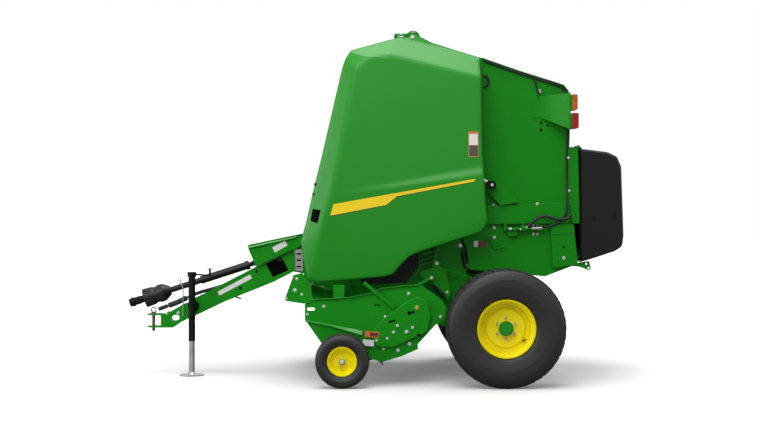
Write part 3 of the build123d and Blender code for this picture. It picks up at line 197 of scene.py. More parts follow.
def surface(name, colour, rough, tone=0.06, tone_scale=1.5, grain=60.0, bump=0.03, metal=0.0, coat=0.0,
            specular=0.5):
    """A material whose colour, gloss and grain drift over the surface."""
    made = bpy.data.materials.new(name)
    made.use_nodes = True
    tree = made.node_tree
    group = add_node(tree, "ShaderNodeGroup", {
        "Base": (*colour, 1.0), "Tone": tone, "Tone Scale": tone_scale, "Grain Scale": grain,
        "Rough Low": rough[0], "Rough High": rough[1]}, node_tree=TONE_AND_GRAIN)
    relief = add_node(tree, "ShaderNodeBump", {"Strength": bump, "Distance": 0.002}, name="relief")
    shader = tree.nodes["Principled BSDF"]
    for socket, value in (("Metallic", metal), ("Coat Weight", coat), ("Coat Roughness", 0.15),
                          ("Specular IOR Level", specular)):
        shader.inputs[socket].default_value = value
    wire(tree, (group, "Color", shader, "Base Color"), (group, "Roughness", shader, "Roughness"),
         (group, "Height", relief, "Height"), (relief, "Normal", shader, "Normal"))
    return made


def recoloured(tree, node, mask, colour):
    """Mixes another colour into a material's base colour where the node's mask is one."""
    shader = tree.nodes["Principled BSDF"]
    first = shader.inputs["Base Color"].links[0]
    mix = add_node(tree, "ShaderNodeMix", {"B": (*colour, 1.0)}, data_type="RGBA")
    wire(tree, (node, mask, mix, "Factor"), (first.from_node, first.from_socket.name, mix, "A"),
         (mix, "Result", shader, "Base Color"))


def enamel(name, colour, edge_highlight_colour, edge_radius, **given):
    """Enamel on folded sheet: the edges are softly rounded and painted a little paler as a highlight."""
    made = surface(name, colour, **given)
    tree = made.node_tree
    edge = add_node(tree, "ShaderNodeGroup", {"Radius": edge_radius}, node_tree=FOLDED_EDGE)
    wire(tree, (edge, "Normal", tree.nodes["relief"], "Normal"))
    recoloured(tree, edge, "Mask", edge_highlight_colour)
    return made


def dress(material, *names):
    """Puts a finish on CAD nodes, which keep their own meshes."""
    for name in names:
        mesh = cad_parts[name].data
        mesh.materials.clear()
        mesh.materials.append(material)


sheet_green = enamel("green_sheet_enamel", GREEN, (0.06, 0.36, 0.065), 0.003, rough=(0.36, 0.46), tone=0.05,
                     specular=0.16)
dress(sheet_green, "frame_side_left", "frame_side_right", "frame_beams", "front_panel", "axle",
      "gate_side_left", "gate_side_right", "gate_beams", "corner_boxes", "rear_brackets", "lamp_brackets",
      "net_box", "lower_brackets", "gate_latches")

# Side shields: large pressed sheets with a soft crease round the main face, chamfers at the front and top and
# a shallow ridge over the stripe. Each hangs on two welded leaves from a long pin at the top of the frame, and
# its top edge is notched round the frame's own leaf, so that it swings clear.
SHIELD_OUTLINE = [  # x, z, corner radius
    (-0.181, 2.522, 0.030), (-0.207, 2.446, 0.030), (-0.372, 1.730, 0.060), (-0.413, 1.570, 0.060),
    (-0.485, 1.252, 0.030), (-0.527, 1.100, 0.030), (-0.491, 0.881, 0.030), (-0.470, 0.812, 0.016),
    (-0.398, 0.788, 0.020), (0.116, 0.830, 0.060), (0.188, 0.850, 0.060), (0.249, 0.922, 0.080),
    (0.311, 0.985, 0.060), (0.385, 1.022, 0.080), (0.868, 1.176, 0.060), (0.916, 1.252, 0.060),
    (0.902, 1.365, 0.060), (0.878, 1.807, 0.060), (0.866, 2.548, 0.030), (0.497, 2.662, 0.020),
    (0.344, 2.740, 0.012), (0.322, 2.733, 0.0), (0.313, 2.709, 0.0), (0.247, 2.709, 0.0),
    (-0.140, 2.592, 0.030),
]
SHIELD_FACE = -0.895
SHIELD_BACK = -0.660
SHIELD_FLANGE_END = -0.865
SHIELD_RIM = 0.014
SHIELD_MESH = 0.018
RIDGE_STEP = 0.026
RIDGE_SOFTNESS = -0.0035
FACE_SOFTNESS = 0.0004
CHAMFER_SOFTNESS = 0.0026
SHEET_WALL = 0.003
HINGE_Y = -0.645
HINGE_Z = 2.725
HINGE_LEAVES = ((0.227, 0.242), (0.268, 0.283))
SLEEVE_RADIUS = 0.013
SLEEVE_BORE = 0.0085


def rounded_outline(points, spacing):
    """Points round a closed outline, with arcs at its corners and no run longer than the spacing."""
    line = []
    for i, (x, z, r) in enumerate(points):
        here = Vector((x, z))
        if r <= 0:
            line.append(here)
            continue
        before = Vector(points[i - 1][:2]) - here
        after = Vector(points[(i + 1) % len(points)][:2]) - here
        half = before.angle(after) / 2
        cut = min(r / math.tan(half), 0.45 * before.length, 0.45 * after.length)
        r = cut * math.tan(half)
        centre = here + (before.normalized() + after.normalized()).normalized() * (r / math.sin(half))
        a = here + before.normalized() * cut - centre
        b = here + after.normalized() * cut - centre
        turn = math.pi - 2 * half
        steps = max(2, int(turn / math.radians(12)) + 1)
        sign = 1.0 if a.x * b.y - a.y * b.x > 0 else -1.0
        for k in range(steps + 1):
            angle = sign * turn * k / steps
            line.append(centre + Vector((a.x * math.cos(angle) - a.y * math.sin(angle),
                                         a.x * math.sin(angle) + a.y * math.cos(angle))))
    out = []
    for p, q in zip(line, line[1:] + line[:1]):
        pieces = max(1, math.ceil((q - p).length / spacing))
        out += [p.lerp(q, k / pieces) for k in range(pieces)]
    return out


def inset_outline(line, amount):
    """The same outline moved inwards, for one that runs clockwise or anticlockwise."""
    area = sum(p.x * q.y - q.x * p.y for p, q in zip(line, line[1:] + line[:1]))
    sign = 1.0 if area > 0 else -1.0
    moved = []
    for before, here, after in zip(line[-1:] + line[:-1], line, line[1:] + line[:1]):
        along = (after - before).normalized()
        moved.append(here + sign * amount * Vector((-along.y, along.x)))
    return moved


def inside_outline(p, line):
    """Whether a point lies inside a closed outline."""
    within = False
    for a, b in zip(line, line[1:] + line[:1]):
        if (a.y > p.y) != (b.y > p.y) and p.x < (b.x - a.x) * (p.y - a.y) / (b.y - a.y) + a.x:
            within = not within
    return within


def sloping(a, b, c):
    """y of the plane through three (x, set back from the face, z) points, as a function of x and z."""
    a, b, c = ((x, SHIELD_FACE + back, z) for x, back, z in (a, b, c))
    normal = (Vector(b) - Vector(a)).cross(Vector(c) - Vector(a))
    return lambda x, z: a[1] - (normal.x * (x - a[0]) + normal.z * (z - a[2])) / normal.y


FULL_DEPTH = SHIELD_BACK - SHIELD_FACE
SHIELD_CHAMFERS = [
    sloping((0.153, 0, 2.502), (0.875, 0, 2.319), (0.600, FULL_DEPTH, 2.624)),
    sloping((0.153, 0, 2.502), (0.300, FULL_DEPTH, 2.725), (-0.140, FULL_DEPTH - 0.100, 2.592)),
    sloping((-0.020, 0, 2.410), (0.075, 0, 2.490), (-0.181, FULL_DEPTH - 0.130, 2.522)),
    sloping((-0.027, 0, 2.394), (-0.361, 0, 1.189), (-0.413, 0.075, 1.570)),
    sloping((-0.361, 0, 1.189), (-0.400, 0, 0.800), (-0.500, 0.045, 0.900)),
    sloping((-0.352, 0, 1.179), (-0.167, 0, 1.005), (-0.398, 0.018, 0.800)),
    sloping((-0.167, 0, 1.005), (0.243, 0, 0.974), (-0.100, 0.016, 0.800)),
    sloping((0.243, 0, 0.974), (0.891, 0, 1.265), (0.700, 0.007, 1.120)),
]
RIDGE_LOW = sloping((-0.254, 0, 1.461), (0.868, 0, 1.626), (0.868, RIDGE_STEP, 1.676))
RIDGE_HIGH = sloping((-0.254, 0, 1.469), (0.868, RIDGE_STEP, 1.715), (0.153, 1.8 * RIDGE_STEP, 2.502))


def soft_most(values, softness):
    """The largest value, or the smallest for a negative softness, with the change between them rounded."""
    top = max(values) if softness > 0 else min(values)
    return top + softness * math.log(sum(math.exp((v - top) / softness) for v in values))


def shield_y(x, z):
    """Outer face of the left shield: the flat face, the ridge and the chamfers, joined by soft creases."""
    ridge = soft_most([RIDGE_LOW(x, z), RIDGE_HIGH(x, z)], RIDGE_SOFTNESS)
    face = soft_most([SHIELD_FACE, ridge], FACE_SOFTNESS)
    return min(soft_most([face] + [plane(x, z) for plane in SHIELD_CHAMFERS], CHAMFER_SOFTNESS),
               SHIELD_BACK - 0.001)


def draped(line, spacing, height):
    """Vertices and triangles of a face over an outline, at the height that the function gives."""
    low = Vector((min(p.x for p in line), min(p.y for p in line)))
    high = Vector((max(p.x for p in line), max(p.y for p in line)))
    ring = inset_outline(line, 0.6 * spacing)
    points = list(line)
    for i in range(1, int((high.x - low.x) / spacing)):
        for k in range(1, int((high.y - low.y) / spacing)):
            p = Vector((low.x + i * spacing, low.y + k * spacing))
            if inside_outline(p, ring):
                points.append(p)
    count = len(line)
    edges = [(i, (i + 1) % count) for i in range(count)]
    flat, _, faces, _, _, _ = delaunay_2d_cdt(points, edges, [list(range(count))], 1, 1e-6)
    return [(p.x, height(p.x, p.y), p.y) for p in flat], [list(f) for f in faces]


def smoothed(piece, angle):
    """Smooth shading, with the edges sharper than the angle in degrees left crisp."""
    piece.data.shade_smooth()
    piece.data.set_sharp_from_angle(angle=math.radians(angle))
    return piece


def mesh_piece(name, verts, faces, material, smooth_angle=None):
    """A mesh object at the origin with one finish."""
    mesh = bpy.data.meshes.new(name)
    mesh.from_pydata(verts, [], faces)
    mesh.materials.append(material)
    work = bmesh.new()
    work.from_mesh(mesh)
    bmesh.ops.remove_doubles(work, verts=work.verts, dist=1e-6)
    bmesh.ops.recalc_face_normals(work, faces=work.faces)
    work.to_mesh(mesh)
    work.free()
    piece = placed(name, mesh)
    return piece if smooth_angle is None else smoothed(piece, smooth_angle)


def plain(piece):
    """Replaces an object by the plain mesh that its modifiers give."""
    name = piece.name
    graph = bpy.context.evaluated_depsgraph_get()
    mesh = bpy.data.meshes.new_from_object(piece.evaluated_get(graph), preserve_all_data_layers=True,
                                           depsgraph=graph)
    old = piece.data
    bpy.data.objects.remove(piece)
    if old.users == 0:
        bpy.data.meshes.remove(old)
    mesh.name = name
    return placed(name, mesh)


def joined(name, pieces):
    """One object from several, with their finishes in its slots."""
    work = bmesh.new()
    finishes = []
    for piece in pieces:
        start = len(work.faces)
        work.from_mesh(piece.data)
        work.faces.ensure_lookup_table()
        own = list(piece.data.materials)
        finishes += [m for m in own if m not in finishes]
        for face in work.faces[start:]:
            face.material_index = finishes.index(own[face.material_index])
    mesh = bpy.data.meshes.new(name)
    work.to_mesh(mesh)
    work.free()
    for finish in finishes:
        mesh.materials.append(finish)
    for piece in pieces:
        bpy.data.objects.remove(piece)
    return placed(name, mesh)


def mirrored(name, piece):
    """The same piece on the machine's right."""
    mesh = piece.data.copy()
    mesh.name = name
    for v in mesh.vertices:
        v.co.y = -v.co.y
    mesh.flip_normals()
    return placed(name, mesh)


def around(count):
    """Cosine and sine at even steps round a circle."""
    return [(math.cos(2 * math.pi * k / count), math.sin(2 * math.pi * k / count)) for k in range(count)]


def band(low, high, count):
    """Faces between two closed rings of vertices, from the number of the first one of each."""
    return [[low + i, low + (i + 1) % count, high + (i + 1) % count, high + i] for i in range(count)]


def prism(points, axis, low, high):
    """Vertices and faces of a flat outline carried along one axis; the points are on the two other axes."""
    verts = [tuple(p[:axis]) + (at,) + tuple(p[axis:]) for at in (low, high) for p in points]
    count = len(points)
    return verts, [list(range(count)), list(range(count, 2 * count))] + band(0, count, count)


def pipe(start, stop, outer, inner, sides):
    """Vertices and faces of a straight sleeve with an open bore."""
    start, stop = Vector(start), Vector(stop)
    along = (stop - start).normalized()
    side = along.orthogonal().normalized()
    up = along.cross(side)
    verts = [tuple(p + radius * (c * side + s * up)) for p in (start, stop) for radius in (outer, inner)
             for c, s in around(sides)]
    faces = []
    for a, b in ((0, 2), (3, 1), (1, 0), (2, 3)):
        faces += band(a * sides, b * sides, sides)
    return verts, faces


def facing_out(piece):
    """Turns the faces of a sheet on the left side to look outwards."""
    if sum(f.normal.y * f.area for f in piece.data.polygons) > 0:
        piece.data.flip_normals()
    return piece


def shield_shell():
    """Outer face, rounded rim and return flange, given a wall by Solidify."""
    line = rounded_outline(SHIELD_OUTLINE, SHIELD_MESH)
    count = len(line)
    verts, faces = draped(inset_outline(line, SHIELD_RIM), SHIELD_MESH, shield_y)
    last = 0
    for turn in (65, 40, 15, 0):
        angle = math.radians(turn)
        inset, drop = SHIELD_RIM * (1 - math.cos(angle)), SHIELD_RIM * (1 - math.sin(angle))
        start = len(verts)
        verts += [(p.x, min(shield_y(p.x, p.y) + drop, SHIELD_BACK), p.y)
                  for p in (inset_outline(line, inset) if turn else line)]
        faces += band(last, start, count)
        last = start
    start = len(verts)
    for p in line:
        y = min(shield_y(p.x, p.y) + SHIELD_RIM, SHIELD_BACK)
        verts.append((p.x, max(y + 0.002, min(y + 0.02, SHIELD_FLANGE_END)), p.y))
    faces += band(last, start, count)
    shell = facing_out(mesh_piece("shield_shell", verts, faces, shield_green))
    wall = shell.modifiers.new("wall", "SOLIDIFY")
    wall.thickness = SHEET_WALL
    wall.offset = -1.0
    return plain(shell)


shield_green = surface("pressed_green_enamel", GREEN, (0.30, 0.38), tone=0.04, tone_scale=0.9, grain=45.0,
                       bump=0.01, specular=0.35)
leaf_outline = [(HINGE_Y - 0.009, HINGE_Z + 0.010), (HINGE_Y - 0.009, HINGE_Z - 0.009),
                (SHIELD_BACK - 0.012, 2.672), (SHIELD_BACK - 0.032, 2.660), (SHIELD_BACK + 0.005, 2.738)]
shield_parts = [shield_shell()]
for x_low, x_high in HINGE_LEAVES:
    shield_parts.append(mesh_piece("hinge_leaf", *prism(leaf_outline, 0, x_low, x_high), sheet_green))
    sleeve = pipe((x_low, HINGE_Y, HINGE_Z), (x_high, HINGE_Y, HINGE_Z), SLEEVE_RADIUS, SLEEVE_BORE, 18)
    shield_parts.append(mesh_piece("hinge_sleeve", *sleeve, sheet_green))
shield_left = smoothed(joined("shield_panel_left", shield_parts), 32)
shield_right = mirrored("shield_panel_right", shield_left)
for side, panel in (("left", shield_left), ("right", shield_right)):
    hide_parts("shield_" + side)
    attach(panel, "shield_" + side)

# Stripe, pocket and blank sign of each shield: the stripe and the sign are thin printed film laid on the
# enamel, and the pocket at the front edge is a recess drawn as black film, its colour painted shade.
STRIPE = [(-0.295, 1.303), (-0.269, 1.391), (0.822, 1.586), (0.811, 1.565), (0.219, 1.452), (0.137, 1.385)]
STRIPE_EDGE = [(-0.298, 1.296), (-0.292, 1.308), (0.137, 1.390), (0.219, 1.457), (0.811, 1.570),
               (0.816, 1.562), (0.222, 1.446), (0.141, 1.379)]
POCKET = [(-0.450, 1.262), (-0.394, 1.242), (-0.369, 1.345), (-0.432, 1.356)]
SIGN = (0.770, 0.848, 1.756, 1.951)
SIGN_MARGIN = 0.005


def film(name, points, material, lift, spacing=0.04):
    """A thin film that lies on the left shield's outer face."""
    line = rounded_outline([(x, z, 0.0) for x, z in points], spacing)
    verts, faces = draped(line, spacing, lambda x, z: shield_y(x, z) - lift)
    return facing_out(mesh_piece(name, verts, faces, material))


def rectangle(x_low, x_high, z_low, z_high):
    """Corners of an upright rectangle on a side face."""
    return [(x_low, z_low), (x_high, z_low), (x_high, z_high), (x_low, z_high)]


def blank_film(name, colour, tone):
    """Film of a plate or sign that carries no words."""
    return surface(name, colour, (0.38, 0.50), tone=tone, grain=120.0)


stripe_yellow = surface("yellow_film", (0.86, 0.62, 0.006), (0.30, 0.42), tone=0.03, grain=90.0)
stripe_dark = surface("dark_film", (0.045, 0.030, 0.012), (0.40, 0.50), tone=0.05, grain=90.0)
pocket_shade_black = surface("pocket_plastic", (0.0015, 0.0018, 0.0015), (0.60, 0.75), tone=0.10, grain=260.0,
                       bump=0.15, specular=0.04)
sign_white = blank_film("blank_white_film", (0.74, 0.74, 0.72), 0.03)
sign_dark = blank_film("blank_dark_film", (0.055, 0.055, 0.050), 0.05)
sign_orange = blank_film("blank_orange_film", (0.62, 0.16, 0.03), 0.05)
x_low, x_high, z_low, z_high = SIGN
z_mid = z_low + 0.46 * (z_high - z_low)
marks_left = joined("shield_marks_left", [
    film("stripe", STRIPE, stripe_yellow, 0.0010),
    film("stripe_edge", STRIPE_EDGE, stripe_dark, 0.0006),
    film("pocket", POCKET, pocket_shade_black, 0.0012, 0.02),
    film("sign_edge", rectangle(*SIGN), sign_orange, 0.0006),
    film("sign_white", rectangle(x_low + SIGN_MARGIN, x_high - SIGN_MARGIN, z_mid + 0.002, z_high - 0.018),
         sign_white, 0.0010, 0.02),
    film("sign_dark", rectangle(x_low + SIGN_MARGIN, x_high - SIGN_MARGIN, z_low + 0.006, z_mid - 0.002),
         sign_dark, 0.0010, 0.02),
])
marks_right = mirrored("shield_marks_right", marks_left)
for side, marks in (("left", marks_left), ("right", marks_right)):
    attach(marks, "shield_" + side)

# Drawbar, hitch and gearbox: the tongue, the clevis and the driveline's cover are welded plate in the same
# enamel. The gearbox under the cover is a cast case, rough and painted black; the inner panels take the same
# black as painted shade in the dark chamber.
dress(sheet_green, "tongue", "hitch_clevis", "tongue_cover")
cast_black_and_shade = surface("cast_black_enamel", (0.008, 0.008, 0.009), (0.50, 0.66), tone=0.25, tone_scale=9.0,
                     grain=320.0, bump=0.35, specular=0.3)
dress(cast_black_and_shade, "gearbox", "inner_panels")

# Bright pieces: the holder rod, the slotted plates and the jack's leg are zinc-plated, the lift cylinder's rod
# is ground steel, and chain, rolls and reel are steel worn by the crop. The hitch pin has browned bare.
zinc = surface("zinc_plate", (0.40, 0.40, 0.385), (0.34, 0.50), tone=0.14, tone_scale=16.0, grain=220.0,
               bump=0.05, metal=0.9)
bright_steel = surface("ground_steel", (0.50, 0.50, 0.49), (0.20, 0.34), tone=0.06, tone_scale=12.0,
                       grain=300.0, metal=1.0)
worn_steel = surface("worn_steel", (0.30, 0.28, 0.26), (0.40, 0.60), tone=0.22, tone_scale=10.0, grain=150.0,
                     bump=0.12, metal=0.9)
brass_brown = surface("bronze_oxide", (0.20, 0.085, 0.045), (0.42, 0.58), tone=0.25, tone_scale=18.0,
                      grain=200.0, metal=0.6)
dress(zinc, "drawbar_fittings", "jack_leg")
dress(bright_steel, "lift_rod")
dress(worn_steel, "drive_chain", "reel", "frame_rolls", "gate_rolls")
dress(brass_brown, "hitch_pin")

# Hoses, jack and gate barrels: the hoses and the harness are black rubber with a faint braid under the cover,
# clipped to the sheets. The jack's tube and the cylinders' barrels are steel tube in black enamel.
hose_black = surface("hose_rubber", (0.010, 0.010, 0.0105), (0.46, 0.62), tone=0.18, tone_scale=12.0,
                     grain=420.0, bump=0.25, specular=0.4)
# Its paler edge colour is a painted highlight.
black_enamel = enamel("black_enamel", (0.0026, 0.0030, 0.0026), (0.03, 0.03, 0.03), 0.002, rough=(0.32, 0.46),
                      tone=0.12, specular=0.16)
dress(hose_black, "hoses", "gate_harness")
dress(black_enamel, "jack_tube", "gate_barrel_left", "gate_barrel_right")

# Belts: rubber-covered fabric that runs over the rolls of frame and gate. A fine cross-rib is moulded into
# the cover and grips the crop.
belt_rubber = surface("belt_rubber", (0.016, 0.016, 0.0165), (0.60, 0.76), tone=0.18, tone_scale=3.0,
                      grain=180.0, bump=0.1, specular=0.3)
belt = belt_rubber.node_tree
where = add_node(belt, "ShaderNodeTexCoord")
rib = add_node(belt, "ShaderNodeTexWave", {"Scale": 55.0, "Distortion": 0.4}, wave_type="BANDS",
               bands_direction="DIAGONAL")
rib_relief = add_node(belt, "ShaderNodeBump", {"Strength": 0.35, "Distance": 0.0015})
wire(belt, (where, "Object", rib, "Vector"), (rib, "Fac", rib_relief, "Height"),
     (rib_relief, "Normal", belt.nodes["relief"], "Normal"))
dress(belt_rubber, "frame_belts", "gate_belts")

# Driveline: moulded black guard tubes over the telescoping shaft, and a ribbed bell over the front joint.
# The joint's yoke is a forging in black enamel.
guard_black = surface("guard_plastic", (0.0065, 0.0065, 0.0068), (0.30, 0.44), tone=0.10, grain=160.0,
                      bump=0.05, specular=0.36)
dress(guard_black, "driveline_rear", "driveline_guard")
dress(black_enamel, "driveline_yoke")

# Shield fasteners: a zinc-plated hex screw with a pressed washer at the apex of each shield, and two dark
# clips at its front edge. Such fasteners are set on the sheets by one Geometry Nodes run for each body.
SIDES = (("left", -1), ("right", 1))
WASHER_SIDES = 20
SHIELD_SCREW = [(0.344, 2.705, 1.0)]
SHIELD_CLIPS = [(-0.412, 1.545, 0.8), (-0.426, 1.470, 0.7)]


def grown(piece, tree, values):
    """Runs a geometry node tree on a piece with its named inputs set, and keeps the plain mesh."""
    modifier = piece.modifiers.new(tree.name, "NODES")
    modifier.node_group = tree
    for item in tree.interface.items_tree:
        if item.item_type == "SOCKET" and item.in_out == "INPUT" and item.name in values:
            modifier[item.identifier] = values[item.name]
    return plain(piece)


def scatter_tree():
    """Instances of one piece at every point, each turned and sized by the point's own values."""
    tree = bpy.data.node_groups.new("pieces_on_points", "GeometryNodeTree")
    for label in ("Geometry", "Object", "Material"):
        tree.interface.new_socket("Piece" if label == "Object" else label, in_out="INPUT",
                                  socket_type="NodeSocket" + label)
    tree.interface.new_socket("Geometry", in_out="OUTPUT", socket_type="NodeSocketGeometry")
    given, out = add_node(tree, "NodeGroupInput"), add_node(tree, "NodeGroupOutput")
    block = add_node(tree, "GeometryNodeObjectInfo")
    turn = add_node(tree, "GeometryNodeInputNamedAttribute", {"Name": "turn"}, data_type="FLOAT_VECTOR")
    size = add_node(tree, "GeometryNodeInputNamedAttribute", {"Name": "size"}, data_type="FLOAT")
    spread = add_node(tree, "GeometryNodeInstanceOnPoints")
    real = add_node(tree, "GeometryNodeRealizeInstances")
    paint = add_node(tree, "GeometryNodeSetMaterial")
    wire(tree, (given, "Geometry", spread, "Points"), (given, "Piece", block, "Object"),
         (block, "Geometry", spread, "Instance"), (turn, "Attribute", spread, "Rotation"),
         (size, "Attribute", spread, "Scale"), (spread, "Instances", real, "Geometry"),
         (real, "Geometry", paint, "Geometry"), (given, "Material", paint, "Material"),
         (paint, "Geometry", out, "Geometry"))
    return tree


SCATTER = scatter_tree()


def scattered(name, piece, material, places):
    """Copies of a piece at (point, turn, size) places, as one mesh; the piece itself goes."""
    cloud = bpy.data.meshes.new(name + "_points")
    cloud.from_pydata([point for point, _, _ in places], [], [])
    cloud.attributes.new("turn", "FLOAT_VECTOR", "POINT")
    cloud.attributes.new("size", "FLOAT", "POINT")
    for k, (_, angles, scale) in enumerate(places):
        cloud.attributes["turn"].data[k].vector = angles
        cloud.attributes["size"].data[k].value = scale
    made = grown(placed(name, cloud), SCATTER, {"Piece": piece, "Material": material})
    bpy.data.objects.remove(piece)
    return made


def head_mesh(washer, washer_thick, across, height, sides):
    """A screw head that looks along -Y: a washer disc under a head with a chamfered top."""
    verts = [(washer * c, y, washer * s) for y in (0.0003, -washer_thick) for c, s in around(WASHER_SIDES)]
    faces = band(0, WASHER_SIDES, WASHER_SIDES) + [list(range(WASHER_SIDES, 2 * WASHER_SIDES))]
    first = len(verts)
    for radius, y in ((across, -washer_thick), (across, -washer_thick - height * 0.8),
                      (across * 0.86, -washer_thick - height)):
        verts += [(radius * c, y, radius * s) for c, s in around(sides)]
    for low in (first, first + sides):
        faces += band(low, low + sides, sides)
    return verts, faces + [[first + 2 * sides + k for k in range(sides)]]


def fastened(name, body, kind, seats):
    """Fasteners of one kind on seats of point, side of the machine and size, for one body."""
    material, *shape = kind
    head = mesh_piece("head", *head_mesh(*shape), material)
    made = scattered(name, head, material, [(point, (0.0, 0.0, 0.0 if sign < 0 else math.pi), size)
                                            for point, sign, size in seats])
    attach(made, body)


flake_zinc = surface("flake_zinc", (0.62, 0.63, 0.60), (0.30, 0.42), tone=0.10, tone_scale=30.0, grain=180.0,
                     metal=0.35)
# A kind is its material, washer radius, washer thickness, head radius, head height and sides of the head
zinc_bolt = (flake_zinc, 0.0145, 0.0025, 0.0105, 0.0075, 6)
dark_bolt = (black_enamel, 0.0145, 0.0025, 0.0105, 0.0060, 6)
for side, sign in SIDES:
    for label, kind, places in (("bolt", zinc_bolt, SHIELD_SCREW), ("clips", dark_bolt, SHIELD_CLIPS)):
        fastened("shield_%s_%s" % (label, side), "shield_" + side, kind,
                 [((x, sign * (0.0005 - shield_y(x, z)), z), sign, size) for x, z, size in places])

# Tongue fittings: two bores drawn as black discs of painted shade, two blank plates of film on sheet, and a hook
# of black enamelled bar below that holds the cable.
TONGUE_HOLES = [(-0.929, 0.842, 0.9), (-1.060, 0.706, 0.9)]


def landing(nodes, x, z, sign):
    """y where a line along Y at x, z first meets one of the nodes, from outside on the given side."""
    found = []
    for node in nodes:
        hit, place, _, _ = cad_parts[node].ray_cast((x, sign * 3.0, z), (0.0, -sign, 0.0))
        if hit:
            found.append(place.y)
    return max(found, key=lambda y: sign * y) if found else None


def bolts(name, body, nodes, places, kind, sides=(-1, 1)):
    """Fasteners of one kind at (x, z, size) places on the outer faces of the nodes, for one body."""
    fastened(name, body, kind, [((x, landing(nodes, x, z, sign), z), sign, size)
                                for sign in sides for x, z, size in places])


def plate(name, body, nodes, corners, material, stand=0.0008):
    """A thin blank plate on the left outer face of the nodes, from its (x, z) corners."""
    middle = (sum(c[0] for c in corners) / len(corners), sum(c[1] for c in corners) / len(corners))
    y = min(y for y in (landing(nodes, x, z, -1) for x, z in [middle] + corners) if y is not None)
    made = mesh_piece(name, *prism(corners, 1, y - stand, y + 0.0004), material)
    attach(made, body)


def tube(points, radius, sides=10):
    """Vertices and faces of a round bar with flat ends along a line of points."""
    line = [Vector(p) for p in points]
    up = Vector((0.31, 0.17, 0.93)).normalized()
    verts, faces = [], []
    for i, p in enumerate(line):
        along = (line[min(i + 1, len(line) - 1)] - line[max(i - 1, 0)]).normalized()
        side = along.cross(up).normalized()
        up = side.cross(along).normalized()
        verts += [tuple(p + radius * (c * side + s * up)) for c, s in around(sides)]
        if i:
            faces += band((i - 1) * sides, i * sides, sides)
    return verts, faces + [list(range(sides)), [len(verts) - sides + k for k in range(sides)]]


def rod(name, body, y, line, radius, material, sides=10):
    """A bent round bar or hose along a line of (x, z) points at one distance from the machine's middle."""
    made = mesh_piece(name, *tube([(x, y, z) for x, z in line], radius, sides), material, 50)
    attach(made, body)


# Black for bores, slots, windows and notches: painted shade, not a colour of the machine.
hole_shade_black = surface("hole_shadow", (0.002, 0.002, 0.002), (0.80, 0.90), tone=0.10, grain=120.0, specular=0.05)
hole_shade_disc = (hole_shade_black, 0.0135, 0.0005, 0.0115, 0.0003, 16)
bolts("tongue_holes", "frame", ["tongue"], TONGUE_HOLES, hole_shade_disc)
plate("tongue_plate", "frame", ["tongue"],
      [(-1.250, 0.676), (-0.982, 0.818), (-0.966, 0.787), (-1.234, 0.645)], sign_white)
plate("cover_plate", "frame", ["tongue_cover"],
      [(-0.797, 1.042), (-0.693, 1.098), (-0.671, 1.059), (-0.776, 0.999)], sign_white)
rod("cable_hook", "frame", -0.150, [(-1.113, 0.640), (-1.100, 0.632), (-1.055, 0.619)], 0.007, black_enamel)

# Frame sides and clevis: zinc screws, and flat leaves of sheet. A green gusset closes each front corner over
# the pickup, and a black leaf behind each slot paints the shadow on the bare steel there. A black sheet behind
# each window of the tongue paints the shade inside it.
FRAME_BOLTS = [(0.722, 1.067, 1.0), (0.533, 0.929, 0.9), (0.614, 0.702, 0.8)]
CLEVIS_BOLTS = [(-1.589, 0.495, 0.9), (-1.440, 0.520, 0.8), (-1.684, 0.492, 0.8)]
GUSSET = [(-0.430, 0.850), (-0.150, 0.850), (-0.150, 0.733), (-0.290, 0.731), (-0.395, 0.752)]
WINDOW = [(-0.863, 0.909), (-0.722, 0.978), (-0.653, 0.850), (-0.797, 0.785)]
SLOT_X = (-0.569, -0.533)
SLOT_HEIGHTS = (0.901, 0.951, 1.001)
SLOT_HALF = 0.0062
FRAME_SIDE = 0.6203
GUSSET_OUT = 0.6263
SLOT_BACK_OUT = 0.6222
TONGUE_INSIDE = (0.1470, 0.1497)


def frame_leaves(name, outlines, near, far, material):
    """Flat leaves on both sides of the frame, between two distances from the machine's middle."""
    for side, sign in SIDES:
        low, high = sorted((sign * near, sign * far))
        leaves = joined(name + "_" + side, [mesh_piece("leaf", *prism(corners, 1, low, high), material)
                                            for corners in outlines])
        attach(leaves, "frame")


bolts("frame_bolts", "frame", ["frame_side_left", "frame_side_right", "lower_brackets"], FRAME_BOLTS, zinc_bolt)
frame_leaves("front_gusset", [GUSSET], FRAME_SIDE, GUSSET_OUT, sheet_green)
bolts("clevis_bolts", "frame", ["tongue", "hitch_clevis"], CLEVIS_BOLTS, zinc_bolt)
frame_leaves("slot_backs", [rectangle(*SLOT_X, z - SLOT_HALF, z + SLOT_HALF) for z in SLOT_HEIGHTS],
             FRAME_SIDE, SLOT_BACK_OUT, hole_shade_black)
frame_leaves("window_backing", [WINDOW], *TONGUE_INSIDE, hole_shade_black)

# Edges of the tongue and its cover: rolled lips of green sheet, painted a paler green as a highlight. Thick
# rubber sleeves guard the near hose where it leaves the tongue.
COVER_SIDE = -landing(["tongue_cover"], -0.850, 1.060, -1)
COVER_LIP = [(-0.996, 1.062, 0.026), (-0.600, 1.143, 0.018)]  # x, z, drop
LIP_WIDTH = 0.020
TONGUE_EDGE = [(-1.270, 0.705), (-0.935, 0.878), (-0.600, 1.044)]
TONGUE_EDGE_Y = 0.1610
NEAR_HOSE_Y = -0.028
